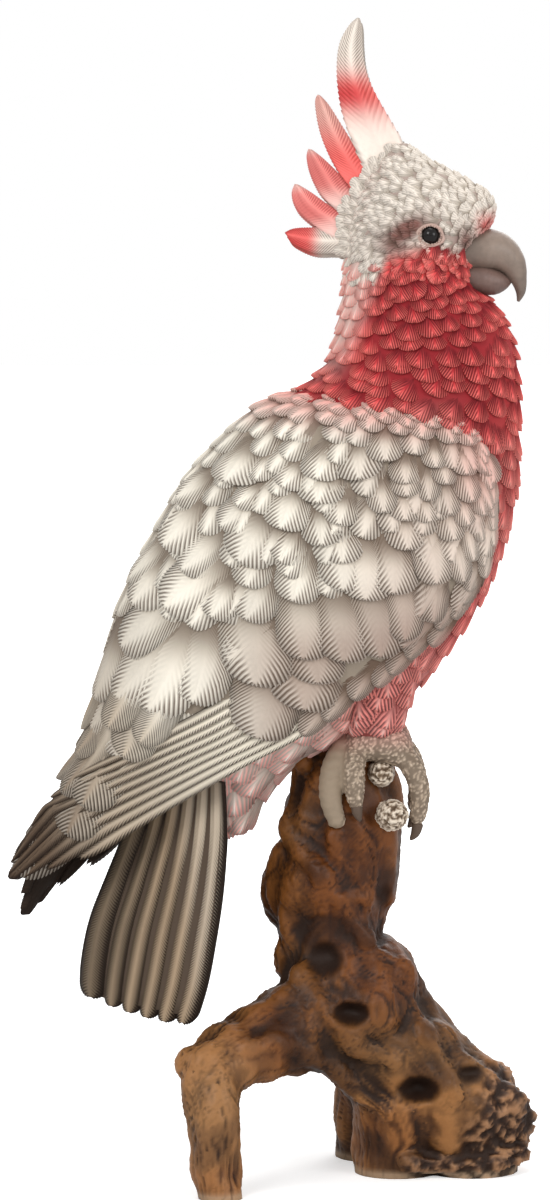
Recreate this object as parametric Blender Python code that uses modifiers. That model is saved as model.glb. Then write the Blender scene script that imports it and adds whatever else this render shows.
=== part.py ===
import math

import bmesh
import bpy
import numpy as np
from mathutils import Matrix, Vector

# Sizes in millimetres
MM = 0.001
BODY_WIDTH = 66.8
CAPE_WIDTH = 74.2
WING_BLADE_COUNT = 5
WING_BLADE_WIDTH = 4.6
WING_BLADE_STEP = 1.3
FAR_WING_DROP = 15.0
BREAST_FEATHER_LENGTH = 10.2
BREAST_FEATHER_STEP = 1.3
BREAST_FEATHER_COUNT = 12
COVERT_FEATHER_STEP = 1.7
COVERT_FEATHER_COUNT = 12
COVERT_BORDER_LEAD = 0.15
FEATHER_SEGMENTS = 4
SCALLOP_DEPTH = 0.62
TAIL_FEATHER_COUNT = 6
TAIL_HALF_WIDTH = 25.0
TAIL_FEATHER_STEP = 1.3
TAIL_FEATHER_OVERLAP = 0.9
CREST_THICKNESS = 3.0
CREST_SPREAD = 1.15
EYE_DIAMETER = 5.6
EYE_SINK = 1.3
EYE_LID_RADIUS = 3.5
EYE_LID_THICKNESS = 1.5
EYE_ROW = 4.3
EYE_TURN = 0.276
BEAK_WIDTH = 16.5
LOWER_BEAK_WIDTH = 12.5
THIGH_WIDTH = 24.0
TOE_THICKNESS = 7.4
STUB_DIAMETER = 9.4
DRIFTWOOD_VOXEL = 2.0
DRIFTWOOD_FACES = 2200
SURFACE_SHARE = 0.7
CENTRE_SHIFT = (0.4, 0.0)

# Body sections from crown to undertail: back point, front point (x, z) and half width
BODY = [
    (36.0, 322.0, 39.6, 322.0, 1.5),
    (30.7, 314.6, 46.1, 316.6, 6.8),
    (26.1, 307.2, 57.5, 310.6, 11.7),
    (23.1, 299.8, 66.1, 304.7, 14.5),
    (21.9, 292.5, 66.6, 297.6, 15.8),
    (21.2, 284.5, 60.8, 288.2, 16.4),
    (20.6, 276.5, 61.0, 278.3, 17.0),
    (19.7, 269.1, 68.3, 270.2, 18.5),
    (18.2, 261.1, 72.4, 262.1, 20.4),
    (15.1, 253.1, 74.6, 253.1, 22.9),
    (8.3, 246.3, 75.3, 243.6, 26.0),
    (-1.5, 239.5, 75.0, 233.3, 29.0),
    (-12.0, 229.6, 75.0, 222.8, 31.5),
    (-21.3, 218.8, 74.0, 211.7, 33.1),
    (-28.1, 205.5, 71.1, 199.9, 33.4),
    (-31.9, 190.9, 67.2, 188.1, 32.4),
    (-34.1, 177.0, 61.3, 176.3, 30.6),
    (-35.0, 162.5, 53.6, 165.1, 27.8),
    (-33.5, 149.0, 45.0, 153.9, 24.1),
    (-31.4, 137.0, 34.1, 143.9, 20.5),
    (-28.3, 127.6, 20.2, 135.8, 16.8),
    (-25.0, 119.6, 6.2, 128.6, 13.6),
    (-22.6, 112.6, -2.4, 119.6, 10.4),
    (-20.4, 106.4, -7.2, 110.7, 7.4),
    (-18.2, 101.4, -11.8, 102.8, 3.2),
]

# Wing cape sections: dorsal point, leading edge point (x, z), wrap angle and half width
CAPE = [
    (14.6, 246.1, 58.9, 237.8, 126.0, 25.4),
    (-4.4, 241.1, 63.6, 228.5, 136.0, 31.2),
    (-20.6, 226.9, 66.6, 218.3, 143.0, 34.8),
    (-30.4, 214.6, 66.8, 206.2, 147.0, 36.6),
    (-38.2, 200.8, 64.7, 192.8, 147.0, 37.1),
    (-45.1, 187.6, 57.2, 179.9, 143.0, 36.7),
    (-50.6, 174.0, 46.0, 168.5, 136.0, 35.4),
    (-53.8, 160.8, 29.9, 156.4, 128.0, 33.2),
    (-56.9, 148.3, 9.4, 141.4, 120.0, 30.4),
    (-60.0, 135.8, -10.5, 130.9, 113.0, 27.0),
    (-67.4, 122.3, -35.2, 116.6, 108.0, 22.6),
    (-75.5, 109.8, -57.5, 102.1, 104.0, 18.0),
    (-84.3, 95.6, -77.2, 90.4, 100.0, 14.0),
]
CAPE_ROWS = [0.5, 1.05, 1.65, 2.3, 3.0, 3.75, 4.6, 5.5, 6.5, 7.9]

# Wing blades: stations of the tips, then broad inner feathers with stations and border shares
BLADE_TIPS = [11.35, 11.75, 12.0, 11.8, 11.45]
TERTIALS = [
    (7.0, 11.4, 0.36, 0.62),
    (6.8, 10.95, 0.16, 0.42),
    (6.6, 10.3, -0.04, 0.24),
]

# Tail lines (x, z): ridge and outer border from base to tip
TAIL_RIDGE = [(-40.0, 131.0), (-47.0, 110.0), (-53.4, 94.0), (-58.6, 80.0), (-61.2, 66.0), (-61.4, 54.4)]
TAIL_OUTER = [(-17.4, 126.0), (-16.9, 108.0), (-18.2, 91.0), (-20.4, 76.0), (-23.0, 62.5), (-26.8, 50.2)]
TAIL_SPREAD = [0.62, 0.72, 0.82, 0.9, 0.97, 1.0]
TAIL_TIPS = [0.95, 0.975, 0.99, 1.0, 1.0, 0.985]

# Crest feathers: left and right border (x, z) from tip to root
CREST = [
    [(25.0, 359.6, 25.6, 359.4), (22.4, 357.2, 26.2, 356.8), (19.4, 352.0, 26.5, 351.0),
     (18.4, 345.5, 27.3, 344.6), (18.7, 337.5, 30.0, 337.2), (20.6, 327.8, 36.2, 326.6),
     (28.6, 308.6, 47.0, 309.4)],
    [(12.6, 335.9, 13.4, 335.7), (11.8, 333.2, 16.4, 332.4), (12.8, 326.0, 20.9, 325.4),
     (15.0, 319.4, 25.6, 318.0), (18.6, 312.6, 29.6, 312.4), (25.0, 304.0, 34.0, 306.0)],
    [(9.8, 319.3, 10.8, 319.1), (9.2, 316.6, 14.4, 316.4), (10.2, 311.4, 19.8, 311.2),
     (13.0, 305.8, 23.6, 306.4), (19.0, 299.6, 29.0, 301.6)],
    [(5.6, 308.6, 6.6, 308.4), (4.6, 305.2, 11.0, 305.8), (6.0, 300.6, 17.0, 301.6),
     (11.0, 296.0, 22.8, 299.0), (19.0, 290.6, 28.0, 296.0)],
    [(2.4, 293.5, 3.2, 292.6), (5.6, 294.9, 5.2, 290.0), (12.0, 295.2, 11.4, 287.2),
     (19.0, 294.6, 18.4, 287.0), (27.0, 295.0, 27.0, 286.0)],
]

# Beak: centre (x, z), direction in degrees, half height and half width share
UPPER_BEAK = [
    (56.0, 288.0, 0.0, 6.2, 1.0),
    (64.6, 288.4, -8.0, 6.4, 0.98),
    (69.4, 287.0, -32.0, 5.7, 0.82),
    (72.9, 283.4, -60.0, 4.2, 0.6),
    (74.6, 279.0, -80.0, 2.6, 0.4),
    (75.2, 275.2, -98.0, 1.5, 0.24),
    (74.5, 272.3, -110.0, 0.4, 0.07),
]
LOWER_BEAK = [
    (56.0, 279.6, 0.0, 3.4, 1.0),
    (63.0, 278.4, -4.0, 3.7, 0.95),
    (67.4, 277.6, 4.0, 3.0, 0.74),
    (70.4, 277.8, 14.0, 1.9, 0.5),
    (72.4, 278.5, 20.0, 0.6, 0.16),
]

# Driftwood limbs: points (x, y, z, radius)
LIMBS = [
    [(21.0, 2.0, 131.0, 12.5), (22.0, 0.0, 122.0, 16.0), (21.0, 0.0, 112.0, 18.8), (20.5, 1.0, 101.0, 18.8),
     (16.5, 2.0, 90.0, 21.2), (17.0, 1.0, 79.0, 17.2), (17.6, 0.0, 70.0, 16.6), (22.5, 1.0, 60.0, 22.6),
     (23.5, 2.0, 50.0, 22.4)],
    [(24.0, 0.0, 52.0, 19.0), (6.0, -10.0, 48.5, 15.0), (-9.0, -22.0, 43.5, 11.0), (-19.0, -31.0, 38.5, 9.8),
     (-20.0, -36.0, 28.0, 9.0), (-18.4, -37.5, 14.0, 7.6), (-16.6, -38.0, -6.0, 6.6)],
    [(-20.0, -31.0, 40.0, 8.0), (-28.5, -33.0, 39.6, 5.2)],
    [(24.0, 4.0, 50.0, 20.0), (38.0, 4.0, 36.0, 20.0), (50.0, 5.0, 24.0, 19.0), (63.0, 6.0, 17.0, 17.2),
     (73.0, 7.0, 12.0, 10.6)],
    [(34.0, 8.0, 40.0, 16.0), (32.0, 20.0, 22.0, 14.0), (32.0, 29.0, 6.0, 13.5), (32.0, 30.0, -8.0, 13.5)],
    [(46.0, 8.0, 24.0, 18.0), (58.0, 22.0, 14.0, 16.0), (60.0, 26.0, -6.0, 16.0)],
    [(40.0, 2.0, 24.0, 17.0), (37.0, 3.0, 10.0, 13.0), (38.0, 4.0, -8.0, 13.5)],
    [(62.0, 6.0, 14.0, 14.0), (61.0, 6.0, -6.0, 15.0)],
    [(14.0, -3.0, 126.0, 6.0), (11.5, -4.0, 134.0, 4.6)],
]
# Ridges and knots that stand out of the wood (x, y, z, radius)
RIDGES = [
    [(7.5, -12.5, 66.0, 4.2), (12.8, -18.6, 57.5, 3.4), (18.4, -19.6, 49.8, 3.4), (26.4, -16.0, 42.5, 3.4),
     (36.7, -14.4, 37.5, 2.8)],
    [(31.0, -11.0, 70.0, 3.6), (38.5, -8.2, 65.0, 4.2), (41.0, -6.0, 59.0, 4.0), (42.5, -7.6, 51.0, 3.6),
     (46.5, -10.6, 44.5, 3.2)],
    [(46.5, -10.8, 44.5, 3.2), (50.0, -10.4, 39.1, 3.2), (53.4, -11.2, 33.0, 3.0), (56.0, -12.4, 25.8, 2.4)],
    [(1.6, -6.0, 92.0, 3.6), (3.2, -7.6, 84.2, 3.4), (6.0, -8.8, 75.7, 3.2), (7.0, -7.8, 68.3, 2.8)],
    [(19.0, -16.4, 91.0, 3.6), (23.0, -12.6, 81.0, 3.6), (28.0, -11.6, 74.5, 3.2)],
    [(-10.9, -33.2, 45.0, 3.4), (-1.2, -27.6, 46.5, 3.4), (11.4, -19.8, 40.8, 3.4), (23.4, -10.4, 31.0, 3.4),
     (35.2, -11.6, 21.0, 3.2)],
    [(3.5, -3.5, 72.0, 4.2), (3.0, -1.5, 65.0, 4.4)],
    [(-22.5, -36.2, 43.0, 3.2), (-23.0, -39.6, 32.0, 2.8), (-21.2, -42.0, 20.8, 2.6), (-19.4, -41.8, 6.6, 2.4)],
    [(55.0, -7.0, 37.0, 3.8), (65.0, -3.6, 30.0, 4.0), (73.5, -2.4, 23.0, 3.8), (77.6, 2.6, 15.4, 3.6)],
    [(40.0, -9.8, 5.5, 2.8), (52.0, -6.6, 4.0, 3.0), (68.0, -6.4, 5.0, 3.0), (77.4, 0.0, 7.0, 3.0)],
    [(7.6, -8.4, 131.0, 3.2), (7.4, -2.8, 122.0, 3.4), (5.0, -6.0, 111.6, 3.4), (6.2, -9.2, 105.6, 3.2),
     (10.8, -14.8, 100.5, 3.2), (15.0, -18.0, 94.8, 3.2)],
    [(17.8, -18.2, 110.0, 2.8), (20.0, -16.4, 102.2, 3.0), (24.7, -14.8, 95.8, 3.0)],
    [(20.0, 15.0, 120.0, 3.4), (12.0, 16.4, 100.0, 3.6), (17.0, 15.4, 80.0, 3.6), (14.0, 17.0, 60.0, 3.4)],
    [(31.0, 14.0, 104.0, 3.4), (28.0, 16.6, 84.0, 3.6), (33.0, 17.4, 60.0, 3.6), (36.0, 25.0, 40.0, 3.4)],
]
HOLLOWS = [
    (23.1, -22.0, 54.6, 4.6, 6.0, 4.4),
    (43.6, -13.5, 30.6, 6.4, 6.0, 3.4),
    (33.6, -16.0, 88.2, 2.6, 4.0, 4.4),
    (10.0, -19.5, 71.0, 4.0, 5.0, 8.0),
]
BASE_CUT = 0.0

# Feet: toe lines (x, y, z, radius) for the near side
TOES = [
    [(22.0, -9.0, 137.0, 3.6), (17.6, -15.5, 130.0, 3.7), (16.6, -19.2, 121.0, 3.5), (18.8, -19.4, 113.0, 2.8)],
    [(25.0, -9.0, 138.0, 3.6), (23.8, -17.0, 131.0, 3.7), (24.0, -20.0, 123.5, 3.2), (24.4, -20.4, 118.0, 1.9),
     (24.8, -20.2, 114.8, 0.9)],
    [(33.0, -9.0, 138.0, 3.6), (40.6, -14.0, 131.4, 3.7), (44.2, -15.4, 122.4, 3.2), (43.6, -15.0, 114.0, 2.5),
     (41.6, -14.6, 107.4, 0.9)],
]
THIGH = [(36.0, 9.0, 176.0, 12.0), (32.5, 10.5, 162.0, 13.0), (29.5, 11.5, 149.0, 11.5), (27.5, 12.0, 139.5, 8.0)]
STUB = [(33.0, -8.0, 113.5), (35.0, -15.0, 115.2), (36.0, -21.0, 116.4)]
KNOB = (32.4, -13.0, 127.6)
KNOB_RADII = (4.6, 5.0, 4.2)
BLADE_START = 6.3


def clear_scene():
    for item in list(bpy.data.objects):
        bpy.data.objects.remove(item, do_unlink=True)


def catmull(table, where):
    """Smooth value of a table of rows at a fractional row number."""
    rows = np.asarray(table, dtype=float)
    last = len(rows) - 1
    where = np.clip(np.asarray(where, dtype=float), 0.0, last)
    low = np.minimum(where.astype(int), last - 1)
    part = (where - low)[..., None]
    before = rows[np.maximum(low - 1, 0)]
    start = rows[low]
    end = rows[low + 1]
    after = rows[np.minimum(low + 2, last)]
    curve = 0.5 * (
        2.0 * start
        + (end - before) * part
        + (2.0 * before - 5.0 * start + 4.0 * end - after) * part ** 2
        + (3.0 * start - before - 3.0 * end + after) * part ** 3
    )
    return curve


def body_point(along, around):
    """Point of the body skin: row number and turn from the back over the near side."""
    along, around = np.broadcast_arrays(np.asarray(along, float), np.asarray(around, float))
    row = catmull(BODY, along)
    angle = around * 2.0 * math.pi
    share = (1.0 - np.cos(angle)) / 2.0
    x = row[..., 0] + (row[..., 2] - row[..., 0]) * share
    z = row[..., 1] + (row[..., 3] - row[..., 1]) * share
    y = -np.sin(angle) * row[..., 4] * BODY_WIDTH / 66.8
    return np.stack([x, y, z], axis=-1)


def cape_point(along, across):
    """Point of the wing skin: across runs from -1 (far edge) over 0 (dorsal line) to 1 (near edge)."""
    along, across = np.broadcast_arrays(np.asarray(along, float), np.asarray(across, float))
    row = catmull(CAPE, along)
    wrap = np.radians(row[..., 4])
    angle = across * wrap
    share = (1.0 - np.cos(angle)) / (1.0 - np.cos(wrap))
    x = row[..., 0] + (row[..., 2] - row[..., 0]) * share
    z = row[..., 1] + (row[..., 3] - row[..., 1]) * share
    y = -np.sin(angle) * row[..., 5] * CAPE_WIDTH / 74.2
    return np.stack([x, y, z], axis=-1)


def raised(surface, along, across, height):
    """Point above a skin by a height measured along its outward direction."""
    step = 0.01
    point = surface(along, across)
    du = surface(np.asarray(along) + step, across) - surface(np.asarray(along) - step, across)
    dv = surface(along, np.asarray(across) + step) - surface(along, np.asarray(across) - step)
    normal = np.cross(du, dv)
    size = np.linalg.norm(normal, axis=-1, keepdims=True)
    normal = normal / np.maximum(size, 1e-9)
    return point + normal * np.asarray(height)[..., None]


def make_object(name, rings, folder, closed=True):
    """Closed solid through rings of equal count, with a fan over each end."""
    count = len(rings[0])
    points = [tuple(p) for ring in rings for p in ring]
    faces = []
    for row in range(len(rings) - 1):
        for column in range(count):
            following = (column + 1) % count
            if following == 0 and not closed:
                continue
            low = row * count
            high = low + count
            faces.append((low + column, low + following, high + following, high + column))
    first = len(points)
    points.append(tuple(np.mean(np.asarray(rings[0]), axis=0)))
    points.append(tuple(np.mean(np.asarray(rings[-1]), axis=0)))
    last = (len(rings) - 1) * count
    for column in range(count):
        following = (column + 1) % count
        faces.append((first, following, column))
        faces.append((first + 1, last + column, last + following))
    return mesh_object(name, points, faces, folder)


def mesh_object(name, points, faces, folder):
    mesh = bpy.data.meshes.new(name)
    scaled = [tuple(MM * value for value in point) for point in points]
    mesh.from_pydata(scaled, [], faces)
    work = bmesh.new()
    work.from_mesh(mesh)
    bmesh.ops.triangulate(work, faces=work.faces)
    bmesh.ops.recalc_face_normals(work, faces=work.faces)
    if work.calc_volume(signed=True) < 0.0:
        bmesh.ops.reverse_faces(work, faces=work.faces)
    work.to_mesh(mesh)
    work.free()
    mesh.update()
    item = bpy.data.objects.new(name, mesh)
    folder.objects.link(item)
    return item


def lobes(columns, segments, odd):
    """Scallop shape across a row: 0 at the notches between feathers and 1 at the tips."""
    index = np.arange(columns) + (segments // 2 if odd else 0)
    phase = (index % segments) / segments
    return np.sin(math.pi * phase) ** 0.7


def breast_rings():
    """Rings of the head (smooth) and of the scalloped feather rows below it."""
    columns = BREAST_FEATHER_COUNT * FEATHER_SEGMENTS
    turn = np.arange(columns) / columns
    rings = [body_point(np.full(columns, u), turn) for u in (0.0, 0.6, 1.3, 2.1, 3.0, 3.9, 4.8, 5.6)]
    steps = np.linspace(6.1, 23.4, 400)
    middle = (body_point(steps, np.full(400, 0.0)) + body_point(steps, np.full(400, 0.5))) / 2.0
    length = np.concatenate([[0.0], np.cumsum(np.linalg.norm(np.diff(middle, axis=0), axis=1))])
    count = max(int(round(length[-1] / BREAST_FEATHER_LENGTH)), 4)
    edges = np.interp(np.linspace(0.0, length[-1], count + 1), length, steps)
    previous = np.full(columns, edges[0])
    for row in range(count):
        span = edges[row + 1] - edges[row]
        shape = lobes(columns, FEATHER_SEGMENTS, row % 2)
        grow = min(1.0, 0.35 + row * 0.13)
        tip = edges[row] + span * (1.0 - SCALLOP_DEPTH) + span * SCALLOP_DEPTH * shape
        rings.append(raised(body_point, previous, turn, np.full(columns, 0.0)))
        height = BREAST_FEATHER_STEP * grow * (0.4 + 0.6 * shape)
        rings.append(raised(body_point, tip, turn, height))
        previous = tip
    rings.append(raised(body_point, previous, turn, np.full(columns, 0.0)))
    rings.append(body_point(np.full(columns, 23.9), turn))
    return rings


def covert_rings():
    """Rings of the mantle and covert feather rows that wrap back and flanks."""
    columns = COVERT_FEATHER_COUNT * FEATHER_SEGMENTS + 1
    across = np.linspace(-1.0, 1.0, columns)
    rings = [raised(cape_point, np.full(columns, 0.12), across, np.full(columns, -4.5))]
    previous = np.full(columns, 0.3)
    border = np.clip((1.0 - np.abs(across)) / 0.08, 0.0, 1.0)
    lead = 1.0 - COVERT_BORDER_LEAD * np.abs(across) ** 1.5
    for row, edge in enumerate(CAPE_ROWS):
        start = CAPE_ROWS[row - 1] if row else 0.3
        span = edge - start
        shape = lobes(columns, FEATHER_SEGMENTS, row % 2)
        tip = (start + span * (1.0 - SCALLOP_DEPTH) + span * SCALLOP_DEPTH * shape) * lead
        rings.append(raised(cape_point, previous, across, np.full(columns, 0.0)))
        height = COVERT_FEATHER_STEP * (0.35 + 0.65 * shape) * (0.3 + 0.7 * border)
        height = height * min(1.0, 0.6 + 0.1 * row)
        rings.append(raised(cape_point, tip, across, height))
        previous = tip
    rings.append(raised(cape_point, previous, across, np.full(columns, -1.3)))
    for along, height in ((8.5, -1.2), (9.4, -1.4), (10.1, -1.8), (10.5, -3.4)):
        rings.append(raised(cape_point, np.full(columns, along), across, np.full(columns, height)))
    return rings


def wing_point(side, along, share, height):
    """Point on one folded wing: share runs from the dorsal border to the lower border."""
    across = 0.16 + 0.84 * share
    point = raised(cape_point, along, across * -side, height)
    slide = np.clip((np.asarray(along) - 9.0) / 3.0, 0.0, 1.0) ** 2
    if side > 0:
        point = point + np.stack([slide * 3.0, slide * -2.0, slide * -FAR_WING_DROP], axis=-1)
    return point


def wing_share(along, distance):
    """Border share that lies a distance above the lower edge of the wing, squeezed toward the tip."""
    row = catmull(CAPE, along)
    width = np.hypot(row[..., 2] - row[..., 0], row[..., 3] - row[..., 1]) * 1.12
    room = WING_BLADE_WIDTH * (WING_BLADE_COUNT + 1.2)
    squeeze = min(1.0, width / room)
    return 1.0 - distance * squeeze / width


def wing_blade(side, first, tip, low, high, by_share, lift, name, folder):
    """One long wing feather: a strip with a raised lower border and a grooved shaft."""
    stations = np.array([0.0, 0.14, 0.4, 0.66, 0.86, 0.95, 1.0])
    narrow = np.array([1.0, 1.0, 1.0, 1.0, 0.9, 0.64, 0.18])
    rings = []
    for station, scale in zip(stations, narrow):
        sink = 3.2 * (1.0 - min(station / 0.14, 1.0))
        along = first + (tip - first) * station
        middle = (low + high) / 2.0
        half = (high - low) / 2.0 * scale
        if by_share:
            half = -half

        def border(value):
            return value if by_share else wing_share(along, value)

        ring = []
        for place, height in ((-1.0, 1.0), (-0.3, 0.95), (0.1, 0.6), (1.0, 0.2)):
            share = border(middle + half * place)
            ring.append(wing_point(side, along, share, lift - sink + WING_BLADE_STEP * height))
        for place in (1.0, -1.0):
            share = border(middle + half * place)
            ring.append(wing_point(side, along, share, lift - sink - 3.2 + 0.9 * (station > 0.9)))
        rings.append(np.array(ring))
    return make_object(name, rings, folder)


def polyline(table, where):
    return catmull(table, np.asarray(where) * (len(table) - 1))


def tail_point(side, along, share, height):
    """Point on one half of the tail: share runs from the ridge to the outer border."""
    ridge = polyline(TAIL_RIDGE, along)
    outer = polyline(TAIL_OUTER, along)
    spread = polyline([(v,) for v in TAIL_SPREAD], along)[..., 0] * TAIL_HALF_WIDTH
    bend = share ** 0.85
    x = ridge[..., 0] + (outer[..., 0] - ridge[..., 0]) * share - height * 0.55
    z = ridge[..., 1] + (outer[..., 1] - ridge[..., 1]) * share
    y = side * (spread * bend + height * 0.8 + 1.0)
    return np.array([x, y, z], dtype=float)


def tail_feather(side, number, name, folder):
    """One tail feather: a fluted strip whose outer border tucks under the inner one."""
    count = TAIL_FEATHER_COUNT
    tip = TAIL_TIPS[min(number, len(TAIL_TIPS) - 1)]
    widths = np.array([1.35] + [1.0] * (count - 1))
    edges = np.concatenate([[0.0], np.cumsum(widths)]) / widths.sum()
    inner = edges[number]
    outer = edges[number + 1] + TAIL_FEATHER_OVERLAP / (TAIL_HALF_WIDTH * 1.8)
    lift = 0.15 * (count - 1 - number)
    stations = np.array([0.0, 0.3, 0.55, 0.78, 0.9, 0.96, 1.0])
    narrow = np.array([1.0, 1.0, 1.0, 1.0, 0.95, 0.72, 0.3])
    rings = []
    for station, scale in zip(stations, narrow):
        along = tip * (0.03 + 0.97 * station)
        middle = (inner + outer) / 2.0
        half = (outer - inner) / 2.0 * scale
        ring = []
        for place, height in ((-1.0, -0.1), (-0.5, 0.9), (0.0, 0.55), (0.5, 1.0), (1.0, 0.25)):
            ring.append(tail_point(side, along, middle + half * place, lift + TAIL_FEATHER_STEP * height))
        for place in (1.0, -1.0):
            ring.append(tail_point(side, along, middle + half * place, -2.2))
        rings.append(np.array(ring))
    return make_object(name, rings, folder)


def tail_core(folder):
    """Solid wedge under the two tail halves."""
    rings = []
    for along in (0.0, 0.25, 0.5, 0.72, 0.9):
        ring = [tail_point(-1.0, along, share, -1.2) for share in (0.96, 0.64, 0.32, 0.02)]
        ring += [tail_point(1.0, along, share, -1.2) for share in (0.02, 0.32, 0.64, 0.96)]
        middle = (ring[0] + ring[-1]) / 2.0 + np.array([-2.5, 0.0, 0.0])
        ring.append(middle)
        rings.append(np.array(ring))
    return make_object("tail_core", rings, folder)


def crest_feather(border, offset, drop, name, folder):
    """One crest feather: a flat leaf with a raised shaft, standing in the middle plane."""
    rings = []
    for index, (left_x, left_z, right_x, right_z) in enumerate(border):
        left = np.array([left_x, 0.0, left_z - drop])
        right = np.array([right_x + drop * 0.5, 0.0, right_z - drop])
        thin = CREST_THICKNESS * (0.35 if index == 0 else min(1.0, 0.55 + 0.12 * index))
        ring = []
        for share, level in ((0.0, 0.0), (0.3, 0.44), (0.52, 0.26), (0.74, 0.44), (1.0, 0.0)):
            point = left + (right - left) * share
            ring.append(point + np.array([0.0, offset - thin * level - 0.2, 0.0]))
        for share, level in ((1.0, 0.2), (0.0, 0.2)):
            point = left + (right - left) * share
            ring.append(point + np.array([0.0, offset + thin * level + 0.2, 0.0]))
        rings.append(np.array(ring))
    return make_object(name, rings, folder)


def beak_solid(table, width, name, folder):
    rings = []
    for x, z, heading, half, share in table:
        turn = math.radians(heading)
        upward = np.array([-math.sin(turn), 0.0, math.cos(turn)])
        centre = np.array([x, 0.0, z])
        ring = []
        for step in range(12):
            angle = 2.0 * math.pi * step / 12
            side = math.sin(angle)
            flat = abs(side) ** 0.9 * math.copysign(1.0, side)
            ring.append(centre + upward * half * math.cos(angle) + np.array([0.0, width / 2 * share * flat, 0.0]))
        rings.append(np.array(ring))
    return make_object(name, rings, folder)


def tube(points, name, folder, sides=7, density=1):
    """Tapered round limb through points with radii, with domed ends."""
    table = np.asarray(points, dtype=float)
    rings = []
    count = (len(table) - 1) * density + 1
    samples = [polyline(table, k / (count - 1)) for k in range(count)]
    reference = np.array([0.13, 1.0, 0.07])
    for index, sample in enumerate(samples):
        ahead = samples[min(index + 1, count - 1)][:3] - samples[max(index - 1, 0)][:3]
        ahead = ahead / np.linalg.norm(ahead)
        first = np.cross(ahead, reference)
        first = first / np.linalg.norm(first)
        second = np.cross(ahead, first)
        radius = max(sample[3], 0.2)
        ring = []
        for step in range(sides):
            angle = 2.0 * math.pi * step / sides
            ring.append(sample[:3] + (first * math.cos(angle) + second * math.sin(angle)) * radius)
        if index == 0:
            rings.append(np.array([p * 0.45 + sample[:3] * 0.55 - ahead * radius * 0.6 for p in ring]))
        rings.append(np.array(ring))
        if index == count - 1:
            rings.append(np.array([p * 0.45 + sample[:3] * 0.55 + ahead * radius * 0.6 for p in ring]))
    return make_object(name, rings, folder)


def ball(centre, radii, name, folder, rows=6, sides=10):
    """Ellipsoid with its poles across the bird."""
    mesh = bpy.data.meshes.new(name)
    work = bmesh.new()
    place = Matrix.Translation([MM * value for value in centre])
    shape = Matrix.Diagonal((MM * radii[0], MM * radii[1], MM * radii[2], 1.0))
    upright = Matrix.Rotation(math.radians(90.0), 4, "X")
    bmesh.ops.create_uvsphere(
        work, u_segments=sides, v_segments=rows, radius=1.0, matrix=place @ shape @ upright
    )
    bmesh.ops.recalc_face_normals(work, faces=work.faces)
    work.to_mesh(mesh)
    work.free()
    item = bpy.data.objects.new(name, mesh)
    folder.objects.link(item)
    return item


def eyelid(side, centre, name, folder):
    """Raised almond rim around one eye, pointing forward and down."""
    points = []
    faces = []
    major = 12
    minor = 5
    for step in range(major):
        turn = 2.0 * math.pi * step / major
        stretch = 1.0 + 0.22 * max(math.cos(turn + math.radians(28.0)), 0.0) ** 3
        for inner in range(minor):
            angle = 2.0 * math.pi * inner / minor
            radius = EYE_LID_RADIUS * stretch + EYE_LID_THICKNESS / 2 * math.cos(angle)
            depth = EYE_LID_THICKNESS * 0.75 * math.sin(angle)
            points.append((
                centre[0] + radius * math.cos(turn),
                side * centre[1] + depth,
                centre[2] + radius * math.sin(turn) * 0.92,
            ))
    for step in range(major):
        for inner in range(minor):
            a = step * minor + inner
            b = step * minor + (inner + 1) % minor
            c = ((step + 1) % major) * minor + (inner + 1) % minor
            d = ((step + 1) % major) * minor + inner
            faces.append((a, b, c, d))
    return mesh_object(name, points, faces, folder)


def evaluated(item, name, folder):
    """Plain mesh object made from an object and its modifiers."""
    bpy.context.view_layer.update()
    graph = bpy.context.evaluated_depsgraph_get()
    mesh = bpy.data.meshes.new_from_object(item.evaluated_get(graph))
    result = bpy.data.objects.new(name, mesh)
    folder.objects.link(result)
    return result


def keep_largest(mesh):
    """Leaves the outer skin only: the small closed pockets between overlapping feathers go."""
    work = bmesh.new()
    work.from_mesh(mesh)
    open_verts = set(work.verts)
    groups = []
    while open_verts:
        seed = open_verts.pop()
        group = [seed]
        stack = [seed]
        while stack:
            for edge in stack.pop().link_edges:
                for vertex in edge.verts:
                    if vertex in open_verts:
                        open_verts.discard(vertex)
                        group.append(vertex)
                        stack.append(vertex)
        groups.append(group)
    groups.sort(key=len)
    for group in groups[:-1]:
        bmesh.ops.delete(work, geom=group, context="VERTS")
    bmesh.ops.triangulate(work, faces=work.faces)
    work.to_mesh(mesh)
    work.free()


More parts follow.
